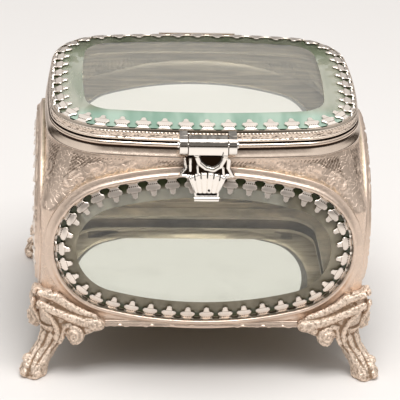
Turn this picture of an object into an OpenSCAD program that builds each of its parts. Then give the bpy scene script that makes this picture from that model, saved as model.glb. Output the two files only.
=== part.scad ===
// Glass casket: a small box of stamped plated metal with bevelled glass
// in its four walls and its lid. It stands on four cast paw feet.
// X runs to the right, Y to the back and Z up. The origin is on the table,
// under the middle of the box. All sizes are millimetres.

/* [Body] */
// Width of the body over its upright corners
body_w = 101; // [94:0.5:124]
// Depth of the body over its upright corners
body_d = 80.6; // [76:0.2:104]
// Height of the walls from their lower edge to the collar
wall_h = 57.7; // [53:0.1:76]
// Thickness of the stamped walls
wall_t = 1.4; // [0.8:0.1:2]
// Radius of the upright corners
corner_r = 4; // [2.5:0.5:7]
// Outward bow of the front and back walls
wall_bow = 0.6; // [0.3:0.1:1.5]
// Height of the sloping shoulders under the collar
shoulder_h = 18; // [12:0.5:24]
// Height of the strip along the lower edge of the walls
skirt_h = 2.4; // [1.5:0.1:3]
// How far the strip along the lower edge stands out
skirt_out = 0.9; // [0.4:0.1:1.2]

/* [Windows] */
// Wall left beside each end of the front window
window_side = 4.5; // [4:0.1:8]
// Wall left beside each end of a side window
window_side_end = 7.3; // [6.5:0.1:11]
// Wall left above a window
window_above = 5.5; // [5:0.1:8]
// Wall left under a window
window_below = 2.6; // [2.4:0.1:5]
// Radius of the round ends of a window
window_r = 21.5; // [18:0.5:22.5]
// Width of the raised moulding round a window
mould_w = 3.2; // [2.4:0.1:3.3]
// How far the moulding stands out from the front and back walls
mould_out = 1.5; // [1:0.1:2]
// How far the moulding stands out from the side walls
side_mould_out = 2.4; // [1.2:0.1:2.8]
// Width of the seat behind the edge of the glass
seat_w = 5; // [3:0.1:7]
// Depth of the seat behind the face of the wall
seat_depth = 2.1; // [1.6:0.1:2.6]
// Thickness of the metal behind the seat
seat_t = 1.1; // [0.8:0.1:1.6]

/* [Glass] */
// Thickness of the wall glass
glass_t = 3.1; // [2.2:0.1:3.6]
// Thickness of the wall glass at the edge of its bevel
glass_edge_t = 1.6; // [1:0.1:2]
// Width of the bevel on the wall glass
bevel_w = 6; // [4:0.5:8]
// Thickness of the lid glass
lid_glass_t = 3.4; // [2.6:0.1:4]
// Thickness of the lid glass at the edge of its bevel
lid_edge_t = 1.9; // [1.2:0.1:2.2]
// Width of the bevel on the lid glass
lid_bevel_w = 9; // [6:0.5:11]

/* [Gallery strip] */
// Thickness of the gallery strip
strip_t = 0.6; // [0.4:0.05:0.8]
// Distance from tab to tab round a wall window
tab_pitch = 6; // [5:0.1:8]
// Distance from tab to tab round the lid
lid_tab_pitch = 6.5; // [5.5:0.1:8]
// Radius of the round arms of a tab
tab_arm_r = 0.85; // [0.6:0.05:1]
// Reach of a tab over the glass
tab_reach = 4.4; // [3.6:0.1:5]
// Thickness of a tab
tab_t = 0.45; // [0.3:0.05:0.6]

/* [Collar and lid] */
// Gap between the side of the lid and the corner of the body, across
lid_in_w = 2.5; // [1.5:0.1:4]
// Gap between the front of the lid and the front of the body
lid_in_d = 1.7; // [1:0.1:3]
// Outward bow of the front and back of the lid
lid_bow_w = 4.8; // [3:0.1:6]
// Outward bow of the sides of the lid
lid_bow_d = 3.2; // [2:0.1:4]
// Radius of the corners of the lid
lid_r = 19.4; // [15:0.2:22]
// Height of the collar moulding
collar_h = 4.6; // [4.2:0.1:6]
// How far the foot of the collar flares beyond the lid
collar_flare = 1.4; // [1.2:0.1:2.4]
// How far the bead of the collar stands beyond the lid
collar_bead = 0.8; // [0.6:0.1:1]
// Depth of the collar from the lid outline inwards
collar_in = 3; // [2.4:0.1:4]
// Height of the lid rim
rim_h = 4.6; // [4.2:0.1:6]
// Width of the flat top edge of the lid rim
rim_top_w = 1.4; // [1:0.1:2]
// Width of the seat under the edge of the lid glass
lid_seat_w = 4; // [3:0.1:5]
// Height of the seat of the lid glass above the lower edge of the rim
lid_seat_h = 1.7; // [1.5:0.1:2]

/* [Floor] */
// Thickness of the floor plate
floor_t = 0.7; // [0.5:0.1:1.2]
// Thickness of the mirror that lies on the floor plate
mirror_t = 1.7; // [1.5:0.1:3]
// Thickness of the frame that holds the mirror down
floor_frame_t = 1.1; // [0.8:0.1:2]
// Width of the frame that holds the mirror down
floor_frame_w = 6.1; // [4:0.1:8]
// Corner radius of the opening in the mirror frame
floor_frame_r = 11; // [8:0.5:14]

/* [Feet] */
// Height of the lower edge of the walls above the table
foot_h = 17; // [15:0.5:24]
// Thickness of the leaf bracket that wraps a corner
leaf_t = 2.4; // [1.8:0.1:3]
// Length of the leaf bracket along a wall
leaf_len = 20.5; // [18:0.5:24]
// Height of the leaf bracket above the lower edge of the walls
leaf_up = 13; // [10:0.5:16]
// Radius of the scroll under the leaf
scroll_r = 3; // [2.4:0.1:3.4]
// Sideways reach of a paw beyond the corner of the body
paw_out_x = 6.4; // [5:0.1:9]
// Forward reach of a paw beyond the corner of the body
paw_out_y = 5.2; // [4.7:0.1:8]
// Width of a paw
paw_w = 9.6; // [8:0.1:12]
// Height of the toes
toe_h = 4.6; // [3.5:0.1:6]
// Width of the leg under the leaf
leg_w = 7.4; // [6:0.1:9]

/* [Hinge] */
// Length of the hinge
hinge_w = 25; // [18:0.5:36]
// Radius of the hinge pin
pin_r = 0.75; // [0.6:0.05:0.9]
// Wall of a hinge knuckle round its bore
knuckle_t = 0.8; // [0.6:0.1:1]
// Thickness of the hinge leaves
hinge_leaf_t = 0.8; // [0.6:0.1:1]

/* [Clasp] */
// Width of the clasp
clasp_w = 17.2; // [14:0.2:20]
// Width of the two outer knuckles of the clasp
clasp_ear_w = 2.4; // [2:0.1:3]
// Radius of the clasp roll
roll_r = 3.1; // [2.6:0.1:3.2]
// Radius of the clasp pin
clasp_pin_r = 0.65; // [0.5:0.05:0.8]
// Length of the clasp flap below its pin
flap_len = 18.4; // [17:0.2:22]
// Thickness of the clasp flap
flap_t = 0.9; // [0.7:0.1:1.1]
// Width of the narrow end of the clasp flap
flap_tip_w = 7.8; // [6:0.2:10]
// Width of the catch on the collar
catch_w = 4.4; // [3:0.2:4.6]

/* [Fits] */
// Gap between parts that move past each other
run_gap = 0.3; // [0.2:0.05:0.5]
// Gap between fixed parts that seat in each other
seat_gap = 0.1; // [0.05:0.05:0.15]
// Radial gap of a pin in its bore
pin_gap = 0.05; // [0.02:0.01:0.1]

/* [Hidden] */
metal = "#d3bca7";
worn = "#c2a78f";
bright = "#efe6dc";
clear = "#a9c9b4";
// Points on each arc of a quarter outline, round a window and round the lid
window_steps = [8, 4];
lid_steps = [3, 7, 3];
// Places of the walls, counted front, right, back, left
half_w = body_w / 2;
half_d = body_d / 2;
wall_out = [half_d, half_w, half_d, half_w];
window_half = [half_w - window_side, half_d - window_side_end,
               half_w - window_side, half_d - window_side_end];
mould_reach = [mould_out, side_mould_out, mould_out, side_mould_out];
window_half_h = (wall_h - window_above - window_below) / 2;
window_z = foot_h + window_below + window_half_h;
// Heights up the body
top_z = foot_h + wall_h;
shoulder_z = top_z - shoulder_h;
collar_z = top_z + collar_h;
lid_z = collar_z + run_gap;
// Half sizes of the lid
lid_a = half_w - lid_in_w;
lid_b = half_d - lid_in_d;
// Step from the foot of the collar in to the top of the walls
collar_step = 0.6;
// Depth of a window frame behind the face of the wall
frame_in = seat_depth + seat_t;
// Where the gallery strip stands, measured in from the edge of its seat
strip_in = seat_gap + strip_t;
glass_in = strip_in + seat_gap;
// Heights of the floor pieces
plate_z = foot_h + 0.2;
mirror_z = plate_z + floor_t + seat_gap;
floor_frame_z = mirror_z + mirror_t + seat_gap;
floor_in = frame_in + seat_gap;
// Axis of the hinge
knuckle_r = pin_r + pin_gap + knuckle_t;
hinge_y = lid_b + collar_bead + run_gap + knuckle_r + 0.6;
hinge_z = collar_z + run_gap / 2;
// Axis of the clasp
bracket_t = 0.5;
rope_out = 0.15;
bracket_y = lid_b + rope_out + seat_gap;
clasp_y = bracket_y + run_gap + roll_r;
clasp_z = lid_z + rim_h - roll_r - 0.7;
// The flap hangs a little in front of its pin
flap_step = 1;
flap_back = clasp_y + flap_step;

function mix(a, b, t) = a + (b - a) * t;

// Outlines are quarters made of arcs, each [centre, radius, from, to],
// where the angles turn from the side, 0, to the back, 90.
// A four-arc oval with half sizes a and b and round ends of radius r
function oval(a, b, r) =
    let (big = ((a - r) * (a - r) + b * b - r * r) / (2 * (b - r)),
         turn = atan2(big - b, a - r))
    [[[a - r, 0], r, 0, turn], [[0, b - big], big, turn, 90]];

// A rectangle of half sizes a and b whose sides bow out, with round corners
function bowed(a, b, bow_a, bow_b, r) =
    let (ra = (a * a + bow_a * bow_a) / (2 * bow_a),
         rb = (b * b + bow_b * bow_b) / (2 * bow_b),
         ca = [0, b - ra],
         cb = [a - rb, 0],
         pa = ra - r,
         pb = rb - r,
         d = norm(cb - ca),
         e = (pa * pa - pb * pb + d * d) / (2 * d),
         h = sqrt(pa * pa - e * e),
         u = (cb - ca) / d,
         c = ca + u * e + [u[1], -u[0]] * h,
         low = atan2(c[1] - cb[1], c[0] - cb[0]),
         high = atan2(c[1] - ca[1], c[0] - ca[0]))
    [[cb, rb, 0, low], [c, r, low, high], [ca, ra, high, 90]];

// Turns an angle into the one that it mirrors in the first quarter
function folded(f) =
    let (g = (f % 360 + 360) % 360)
    g <= 90 ? g : g <= 180 ? 180 - g : g <= 270 ? g - 180 : 360 - g;

function arc_of(arcs, g, i = 0) =
    i == len(arcs) - 1 || g <= arcs[i][3] ? arcs[i] : arc_of(arcs, g, i + 1);

// The point of an outline whose outward direction is at angle f
function place(arcs, f, grow = 0) =
    let (g = folded(f), arc = arc_of(arcs, g), q = floor(((f % 360 + 360) % 360) / 90),
         p = arc[0] + (arc[1] + grow) * [cos(g), sin(g)])
    [(q == 1 || q == 2 ? -1 : 1) * p[0], (q >= 2 ? -1 : 1) * p[1]];

function quarter_angles(arcs, steps) =
    [for (i = [0:len(arcs) - 1]) for (k = [0:steps[i] - 1])
        mix(arcs[i][2], arcs[i][3], k / steps[i]), 90];

function all_angles(arcs, steps) =
    let (a = quarter_angles(arcs, steps), m = len(a) - 1)
    [for (k = [0:m - 1]) a[k],
     for (k = [m:-1:1]) 180 - a[k],
     for (k = [0:m - 1]) 180 + a[k],
     for (k = [m:-1:1]) 360 - a[k]];

function outline(arcs, steps, grow = 0) =
    [for (f = all_angles(arcs, steps)) place(arcs, f, grow)];

function ring(arcs, steps, grow, z) =
    [for (p = outline(arcs, steps, grow)) [p[0], p[1], z]];

// Length of a quarter outline, and the angle after a length s along it
function arc_len(arc) = arc[1] * (arc[3] - arc[2]) * PI / 180;
function quarter_len(arcs, i = 0) =
    i == len(arcs) ? 0 : arc_len(arcs[i]) + quarter_len(arcs, i + 1);
function angle_after(arcs, s, i = 0) =
    i == len(arcs) - 1 || s <= arc_len(arcs[i])
        ? arcs[i][2] + s / arcs[i][1] * 180 / PI
        : angle_after(arcs, s - arc_len(arcs[i]), i + 1);

// Angles of n tabs that stand evenly round an outline
function tab_angles(arcs, n) =
    let (len4 = quarter_len(arcs))
    [for (i = [0:n - 1])
        let (s = (i + 0.5) / n * 4 * len4, q = floor(s / len4), rest = s - q * len4)
        q == 0 ? angle_after(arcs, rest)
        : q == 1 ? 180 - angle_after(arcs, len4 - rest)
        : q == 2 ? 180 + angle_after(arcs, rest)
        : 360 - angle_after(arcs, len4 - rest)];

// Stretches a skin over rings of points; a loop joins the last to the first
module skin(rings, loop = false) {
    n = len(rings[0]);
    m = len(rings);
    sides = [for (i = [0:loop ? m - 1 : m - 2]) for (j = [0:n - 1])
        let (k = (j + 1) % n, a = i * n, b = ((i + 1) % m) * n)
        each [[a + j, b + j, b + k], [a + j, b + k, a + k]]];
    caps = loop ? [] : [[for (j = [0:n - 1]) j], [for (j = [n - 1:-1:0]) (m - 1) * n + j]];
    polyhedron([for (r = rings) each r], concat(sides, caps), convexity = 8);
}

// Sweeps a profile of [outwards, up] points round an outline
module moulding(profile, arcs, steps) {
    skin([for (p = profile) ring(arcs, steps, p[0], p[1])], loop = true);
}

module flat_ring(arcs, steps, outer, inner, z, t) {
    translate([0, 0, z])
        linear_extrude(t)
            difference() {
                polygon(outline(arcs, steps, outer));
                polygon(outline(arcs, steps, inner));
            }
}

// Outline of the body: 0 at the foot of the shoulders, 1 at the collar
function wall_arcs(t) =
    bowed(mix(half_w, lid_a + collar_flare - collar_step, t),
          mix(half_d, lid_b + collar_flare - collar_step, t),
          mix(wall_bow, lid_bow_w, t), mix(wall_bow, lid_bow_d, t),
          mix(corner_r, lid_r + collar_flare - collar_step, t));
lid_arcs = bowed(lid_a, lid_b, lid_bow_w, lid_bow_d, lid_r);
function window_arcs(k) = oval(window_half[k], window_half_h, window_r);

// Puts a piece drawn flat, face up, onto wall k
module on_wall(k) {
    rotate([0, 0, 90 * k])
        translate([0, -wall_out[k], window_z])
            rotate([90, 0, 0])
                children();
}

// Stamped shell of the whole body
module shell() {
    slopes = [0, 0.15, 0.5, 1];
    outer = concat([ring(wall_arcs(0), lid_steps, 0, foot_h)],
        [for (t = slopes) ring(wall_arcs(t), lid_steps, 0, mix(shoulder_z, top_z, t))]);
    inner = concat([ring(wall_arcs(0), lid_steps, -wall_t, foot_h - 1)],
        [for (t = slopes) ring(wall_arcs(t), lid_steps, -wall_t, mix(shoulder_z, top_z, t))],
        [ring(wall_arcs(1), lid_steps, -wall_t, top_z + 1)]);
    difference() {
        skin(outer);
        skin(inner);
    }
}

// Raised moulding round a window with the seat for its glass
module window_frame(k) {
    crest = mould_reach[k];
    moulding([[-seat_w, -frame_in], [mould_w - 2, -frame_in], [mould_w, -wall_t],
              [mould_w, 0.1 * crest], [mould_w - 0.8, 0.3 * crest],
              [mould_w - 1.6, 0.6 * crest], [mould_w - 2, 0.72 * crest],
              [mould_w - 2.4, crest], [0.4, crest], [0, 0.6 * crest],
              [0, -seat_depth], [-seat_w, -seat_depth]],
             window_arcs(k), window_steps);
}

// Quarter of the plan that belongs to wall k, cut at the mitres
module wall_sector(k) {
    far = body_w + body_d;
    lead = (k % 2 == 0 ? 1 : -1) * (half_w - half_d);
    rotate([0, 0, 90 * k])
        translate([0, -seat_gap / 2, foot_h])
            linear_extrude(wall_h)
                polygon(lead > 0
                    ? [[-lead, 0], [-lead - far, -far], [lead + far, -far], [lead, 0]]
                    : [[0, lead], [-far, lead - far], [far, lead - far]]);
}

module panel(k) {
    color(metal)
    intersection() {
        union() {
            difference() {
                shell();
                on_wall(k)
                    translate([0, 0, -2 * frame_in])
                        linear_extrude(3 * frame_in)
                            polygon(outline(window_arcs(k), window_steps, mould_w / 2));
            }
            on_wall(k) window_frame(k);
            skirt(k);
        }
        wall_sector(k);
    }
}

// Strip along the lower edge of wall k, between the leaves of two feet
module skirt(k) {
    run = wall_out[(k + 1) % 4] - leaf_len - seat_gap;
    rotate([0, 0, 90 * k])
        translate([-run, -wall_out[k] - skirt_out, foot_h])
            cube([2 * run, skirt_out + wall_t, skirt_h]);
}

module wall_glass(k) {
    color(clear, 0.4)
    on_wall(k)
        skin([ring(window_arcs(k), window_steps, -glass_in, -seat_depth + seat_gap),
              ring(window_arcs(k), window_steps, -glass_in, glass_edge_t - seat_depth + seat_gap),
              ring(window_arcs(k), window_steps, -glass_in - bevel_w,
                   glass_t - seat_depth + seat_gap)]);
}

function arc_points(centre, r, from, to, steps) =
    [for (i = [0:steps]) let (a = mix(from, to, i / steps)) centre + r * [cos(a), sin(a)]];

// A tab with two round arms and a round tip, pointing along -X
module tab() {
    neck = 0.8;
    arm_x = -0.48 * tab_reach;
    arm_y = 1.5 * tab_arm_r;
    tip_x = tab_arm_r - tab_reach;
    linear_extrude(tab_t)
        polygon(concat([[0, -neck], [0, neck]],
            arc_points([arm_x, arm_y], tab_arm_r, -40, 220, 6),
            arc_points([tip_x, 0], tab_arm_r, 70, 290, 5),
            arc_points([arm_x, -arm_y], tab_arm_r, 140, 400, 6)));
}

// Gallery strip with its tabs laid down over the bevel of the glass
module bezel(arcs, steps, n, low, high, slope) {
    flat_ring(arcs, steps, -seat_gap, -strip_in, low, high - low);
    for (f = tab_angles(arcs, n)) {
        p = place(arcs, f, -seat_gap - strip_t / 2);
        translate([p[0], p[1], high - tab_t / 2])
            rotate([0, 0, f])
                rotate([0, slope, 0])
                    tab();
    }
}

module wall_bezel(k) {
    arcs = window_arcs(k);
    low = -seat_depth + seat_gap;
    slope = atan((glass_t - glass_edge_t) / bevel_w);
    color(bright)
    on_wall(k)
        bezel(arcs, window_steps, round(4 * quarter_len(arcs) / tab_pitch),
              low, low + glass_edge_t + 0.4, slope);
}

module collar() {
    color(metal)
    moulding([[-collar_in, top_z], [collar_flare, top_z],
              [collar_flare, top_z + 0.4], [collar_flare - 0.4, top_z + 0.9],
              [collar_flare - 0.8, top_z + 1.5], [0.3, collar_z - 2.5],
              [0, collar_z - 2.1], [0.1, collar_z - 1.6],
              [collar_bead - 0.3, collar_z - 1.3], [collar_bead, collar_z - 0.8],
              [collar_bead - 0.2, collar_z - 0.2], [collar_bead - 0.6, collar_z],
              [-collar_in, collar_z]],
             lid_arcs, lid_steps);
}

function floor_outline(grow) =
    outline(bowed(half_w - floor_in, half_d - floor_in, wall_bow, wall_bow, corner_r),
            lid_steps, grow);

module base_plate() {
    color(worn)
    translate([0, 0, plate_z])
        linear_extrude(floor_t)
            polygon(floor_outline(0));
}

module floor_mirror() {
    color("#dfe2d8")
    translate([0, 0, mirror_z])
        linear_extrude(mirror_t)
            polygon(floor_outline(-seat_gap));
}

module floor_frame() {
    open_w = half_w - floor_in - floor_frame_w;
    open_d = half_d - floor_in - floor_frame_w;
    color(worn)
    translate([0, 0, floor_frame_z])
        linear_extrude(floor_frame_t)
            difference() {
                polygon(floor_outline(-seat_gap));
                polygon(outline(bowed(open_w, open_d, wall_bow, wall_bow, floor_frame_r),
                                lid_steps));
            }
}

// Side view of a leaf: the corner of the body is at 0, Y is height above the wall foot
module leaf_profile() {
    tip = leaf_len - 1.8;
    polygon(concat([[-leaf_t - 1, -3.5], [2.2, -4.4], [leaf_len / 2 - scroll_r, -3.2]],
        arc_points([leaf_len / 2, -2.2], scroll_r, 190, 350, 6),
        [[tip - 1.6, -0.9]],
        arc_points([tip, 1.3], 1.8, -90, 70, 6),
        [[leaf_len * 0.72, 5.6], [leaf_len * 0.5, 9.4], [leaf_len * 0.28, leaf_up - 0.9],
         [1, leaf_up], [-leaf_t - 1, leaf_up + 0.6]]));
}

// Space of a leaf profile stood along wall k, at the wall's left-hand corner
module leaf_block(k, grow) {
    side = wall_out[(k + 1) % 4];
    rotate([0, 0, 90 * k])
        translate([-side, 0, foot_h])
            rotate([90, 0, 0])
                linear_extrude(wall_out[k] + grow + 1)
                    leaf_profile();
}

// Leaf bracket of the front left corner, wrapped round that corner
module leaf_bracket() {
    arcs = wall_arcs(0);
    difference() {
        intersection() {
            translate([0, 0, foot_h - 6])
                linear_extrude(leaf_up + 8)
                    difference() {
                        polygon(outline(arcs, lid_steps, leaf_t));
                        polygon(outline(arcs, lid_steps, seat_gap));
                    }
            union() {
                intersection() {
                    leaf_block(0, leaf_t);
                    translate([-2 * body_w, -2 * body_d - half_d + corner_r, 0])
                        cube([2 * body_w, 2 * body_d, 2 * foot_h + leaf_up]);
                }
                intersection() {
                    mirror([1, -1, 0])
                        translate([half_w - half_d, half_d - half_w, 0])
                            leaf_block(0, leaf_t + body_w);
                    translate([-2 * body_w - half_w + corner_r, -2 * body_d, 0])
                        cube([2 * body_w, 2 * body_d, 2 * foot_h + leaf_up]);
                }
            }
        }
        for (k = [0, 3])
            on_wall(k)
                for (s = [-1, 1])
                    translate([s * (window_half[k] - window_r), 0, -leaf_t])
                        cylinder(r = window_r + mould_w + seat_gap, h = 4 * leaf_t, $fn = 96);
    }
}

// Section of the leg at height z, with toes where toe is above 0
function leg_ring(x, y, z, rx, toe) =
    [for (i = [0:19])
        let (a = 18 * i, lobe = 1 - toe * 0.16 * (0.5 + 0.5 * cos(4 * (a - 45))))
        [x + rx * lobe * cos(a), y + rx * lobe * sin(a), z]];

module leg() {
    px = half_w + paw_out_x - paw_w / 2;
    py = half_d + paw_out_y - paw_w / 2;
    kx = half_w - 2.2;
    ky = half_d - 2.2;
    half_leg = leg_w / 2;
    skin([leg_ring(-px, -py, 0, paw_w / 2 * 0.9, 1),
          leg_ring(-px, -py, 0.8, paw_w / 2, 1),
          leg_ring(-px, -py, toe_h * 0.55, paw_w / 2 * 0.98, 1),
          leg_ring(mix(-px, -kx, 0.1), mix(-py, -ky, 0.1), toe_h, paw_w / 2 * 0.82, 0.6),
          leg_ring(mix(-px, -kx, 0.35), mix(-py, -ky, 0.35), toe_h + 2, half_leg * 0.92, 0),
          leg_ring(mix(-px, -kx, 0.7), mix(-py, -ky, 0.7), mix(toe_h + 2, foot_h, 0.4),
                   half_leg * 0.9, 0),
          leg_ring(-kx, -ky, mix(toe_h + 2, foot_h, 0.75), half_leg, 0),
          leg_ring(-kx, -ky, foot_h - 0.2, half_leg * 1.15, 0)]);
}

module foot(flip_x, flip_y) {
    color(worn)
    mirror([flip_x, 0, 0])
        mirror([0, flip_y, 0]) {
            leaf_bracket();
            leg();
        }
}

module lid_frame() {
    top = lid_z + rim_h;
    seat = lid_z + lid_seat_h;
    color(metal)
    moulding([[-rim_top_w - 0.6, lid_z], [0, lid_z], [0.3, lid_z + 0.3],
              [0.3, lid_z + 0.8], [0, lid_z + 1.1], [0, top - 1.5],
              [rope_out, top - 1.2], [rope_out, top - 0.8], [-0.2, top - 0.5],
              [-0.6, top], [-rim_top_w, top], [-rim_top_w, seat],
              [-rim_top_w - lid_seat_w, seat], [-rim_top_w - lid_seat_w, seat - 0.8],
              [-rim_top_w - 0.6, seat - 0.8]],
             lid_arcs, lid_steps);
}

module lid_glass() {
    low = lid_z + lid_seat_h + seat_gap;
    edge = -rim_top_w - glass_in;
    color(clear, 0.4)
    skin([ring(lid_arcs, lid_steps, edge, low),
          ring(lid_arcs, lid_steps, edge, low + lid_edge_t),
          ring(lid_arcs, lid_steps, edge - lid_bevel_w, low + lid_glass_t)]);
}

// Outline of the seat edge in the lid
seat_arcs = [for (arc = lid_arcs) [arc[0], arc[1] - rim_top_w, arc[2], arc[3]]];

module lid_bezel() {
    low = lid_z + lid_seat_h + seat_gap;
    slope = atan((lid_glass_t - lid_edge_t) / lid_bevel_w);
    color(bright)
    bezel(seat_arcs, lid_steps, round(4 * quarter_len(seat_arcs) / lid_tab_pitch),
          low, low + lid_edge_t + 0.5, slope);
}

// Hinge: five knuckles on one pin, three on the body and two on the lid
knuckle_len = (hinge_w - 4 * run_gap) / 5;
module knuckle(i, r, bore) {
    translate([-hinge_w / 2 + i * (knuckle_len + run_gap), hinge_y, hinge_z])
        rotate([0, 90, 0])
            difference() {
                cylinder(r = r, h = knuckle_len, $fn = 48);
                translate([0, 0, -1])
                    cylinder(r = bore, h = knuckle_len + 2, $fn = 48);
            }
}

module hinge_leaf_body() {
    bore = pin_r + pin_gap;
    leaf_y = lid_b + collar_flare + seat_gap;
    color(metal)
    difference() {
        union() {
            for (i = [0, 2, 4]) {
                knuckle(i, knuckle_r, bore);
                translate([-hinge_w / 2 + i * (knuckle_len + run_gap), leaf_y, top_z + 0.4])
                    cube([knuckle_len, hinge_leaf_t, hinge_z - top_z - 0.4]);
            }
            translate([-hinge_w / 2, leaf_y, top_z + 0.4])
                cube([hinge_w, hinge_leaf_t, collar_h - 0.4 - knuckle_r - run_gap]);
        }
        translate([-hinge_w, hinge_y, hinge_z])
            rotate([0, 90, 0])
                cylinder(r = bore, h = 2 * hinge_w, $fn = 48);
    }
}

module hinge_leaf_lid() {
    bore = pin_r + pin_gap;
    back = lid_b + 0.3 + seat_gap;
    web_t = 0.8;
    web_z = lid_z + 0.4;
    color(metal)
    difference() {
        union() {
            for (i = [1, 3]) {
                knuckle(i, knuckle_r, bore);
                translate([-hinge_w / 2 + i * (knuckle_len + run_gap), back, web_z])
                    cube([knuckle_len, hinge_y - back, web_t]);
            }
            translate([-hinge_w / 2, back, web_z])
                cube([hinge_w, hinge_leaf_t, rim_h - 1.2]);
        }
        translate([-hinge_w, hinge_y, hinge_z])
            rotate([0, 90, 0])
                cylinder(r = bore, h = 2 * hinge_w, $fn = 48);
    }
}

module hinge_pin() {
    color(bright)
    translate([0, hinge_y, hinge_z])
        rotate([0, 90, 0]) {
            translate([0, 0, -hinge_w / 2 - seat_gap])
                cylinder(r = pin_r, h = hinge_w + 2 * seat_gap, $fn = 48);
            for (s = [-1, 1])
                translate([0, 0, s * (hinge_w / 2 + seat_gap + 0.3) - 0.3])
                    cylinder(r = pin_r + 0.4, h = 0.6, $fn = 48);
        }
}

// Clasp: a bracket on the lid, a flap that hangs from its pin, a catch on the collar
module clasp_bracket() {
    bore = clasp_pin_r + pin_gap;
    top = lid_z + rim_h + seat_gap;
    inner_y = lid_b - rim_top_w + strip_t;
    color(bright)
    difference() {
        union() {
            translate([-clasp_w / 2, -clasp_y + 1, top])
                cube([clasp_w, clasp_y - 1 - inner_y, bracket_t]);
            for (s = [-1, 1])
                translate([s * (clasp_w - clasp_ear_w) / 2 - clasp_ear_w / 2, 0, 0]) {
                    translate([0, -clasp_y, clasp_z])
                        rotate([0, 90, 0])
                            cylinder(r = roll_r, h = clasp_ear_w, $fn = 64);
                    translate([0, -clasp_y, clasp_z])
                        cube([clasp_ear_w, clasp_y - bracket_y, top - clasp_z + bracket_t / 2]);
                }
        }
        translate([-clasp_w, -clasp_y, clasp_z])
            rotate([0, 90, 0])
                cylinder(r = bore, h = 2 * clasp_w, $fn = 48);
    }
}

module clasp_pin() {
    color(bright)
    translate([0, -clasp_y, clasp_z])
        rotate([0, 90, 0]) {
            translate([0, 0, -clasp_w / 2 - seat_gap])
                cylinder(r = clasp_pin_r, h = clasp_w + 2 * seat_gap, $fn = 48);
            for (s = [-1, 1])
                translate([0, 0, s * (clasp_w / 2 + seat_gap + 0.25) - 0.25])
                    cylinder(r = clasp_pin_r + 0.35, h = 0.5, $fn = 48);
        }
}

// Front view of half the flap, X outwards and Y down from the pin
function flap_edge(half, tip) =
    [[half, 0], [half, -4.2], [half + 0.6, -6], [half + 2.4, -9.4], [half + 2.4, -10.2],
     [half - 0.6, -10.4], [half - 0.8, -12], [tip + 0.3, -14.2], [tip, -15.2],
     [tip, -flap_len]];

module clasp_flap() {
    bore = clasp_pin_r + pin_gap;
    half = clasp_w / 2 - clasp_ear_w - run_gap;
    tip = flap_tip_w / 2;
    edge = flap_edge(half, tip);
    hole_r = 2.5;
    hole_y = -7;
    color(bright)
    translate([0, -clasp_y, clasp_z])
    difference() {
        union() {
            translate([-half, 0, 0])
                rotate([0, 90, 0])
                    cylinder(r = roll_r, h = 2 * half, $fn = 64);
            translate([0, clasp_y - flap_back, 0])
                rotate([90, 0, 0]) {
                    linear_extrude(flap_t)
                        difference() {
                            polygon(concat(edge,
                                [for (i = [len(edge) - 1:-1:0]) [-edge[i][0], edge[i][1]]]));
                            translate([0, hole_y])
                                circle(r = hole_r, $fn = 40);
                            translate([-tip + 1, -flap_len + 0.9])
                                square([2 * tip - 2, 0.9]);
                        }
                    translate([0, hole_y, flap_t])
                        rotate([0, 0, 180])
                            rotate_extrude(angle = 180, $fn = 48)
                                translate([hole_r + 0.5, 0])
                                    circle(r = 0.5, $fn = 16);
                }
            translate([-tip, clasp_y - flap_back - flap_t + 0.2, -flap_len])
                rotate([0, 90, 0])
                    cylinder(r = 0.8, h = 2 * tip, $fn = 24);
            for (i = [-2:2])
                translate([i * tip * 0.42, clasp_y - flap_back - flap_t + 0.15, -flap_len + 2.6])
                    rotate([0, i * 4, 0])
                        cylinder(r = 0.5, h = flap_len * 0.3, $fn = 16);
        }
        translate([-clasp_w, 0, 0])
            rotate([0, 90, 0])
                cylinder(r = bore, h = 2 * clasp_w, $fn = 48);
        translate([-clasp_w / 2, clasp_y - flap_back, -flap_len - 2])
            cube([clasp_w, roll_r, flap_len + 2 - roll_r]);
    }
}

// Small rounded catch that the flap closes over
module clasp_catch() {
    back = lid_b + collar_flare + seat_gap;
    tip = flap_back - run_gap - 0.1;
    z = top_z + 0.4;
    color(bright)
    translate([-catch_w / 2, 0, 0])
        rotate([90, 0, 90])
            linear_extrude(catch_w)
                polygon([[-back, z], [-tip, z + 0.5], [-tip, z + 1.6], [-back, z + 2.4]]);
}

panel(0);  // front_panel
panel(1);  // right_panel
panel(2);  // back_panel
panel(3);  // left_panel
wall_glass(0);  // front_glass
wall_glass(1);  // right_glass
wall_glass(2);  // back_glass
wall_glass(3);  // left_glass
wall_bezel(0);  // front_bezel
wall_bezel(1);  // right_bezel
wall_bezel(2);  // back_bezel
wall_bezel(3);  // left_bezel
collar();
base_plate();
floor_mirror();
floor_frame();
foot(0, 0);  // foot_front_left
foot(1, 0);  // foot_front_right
foot(0, 1);  // foot_back_left
foot(1, 1);  // foot_back_right
lid_frame();
lid_glass();
lid_bezel();
hinge_leaf_body();
hinge_leaf_lid();
hinge_pin();
clasp_bracket();
clasp_pin();
clasp_flap();
clasp_catch();
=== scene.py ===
# %% [markdown]
# # A glass casket
# The box is a small casket of stamped, plated metal. Four bevelled oval windows and a bevelled
# lid are held by strips of little tabs, and the floor inside is a mirror. This file dresses the
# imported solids: it loads them, replaces the ones that need finer relief, and gives every piece
# its finish. Each piece rides on the body that carries it, so the lid and the clasp still move.

import bmesh
import bpy
import math
from mathutils import Matrix, Vector, noise


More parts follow.
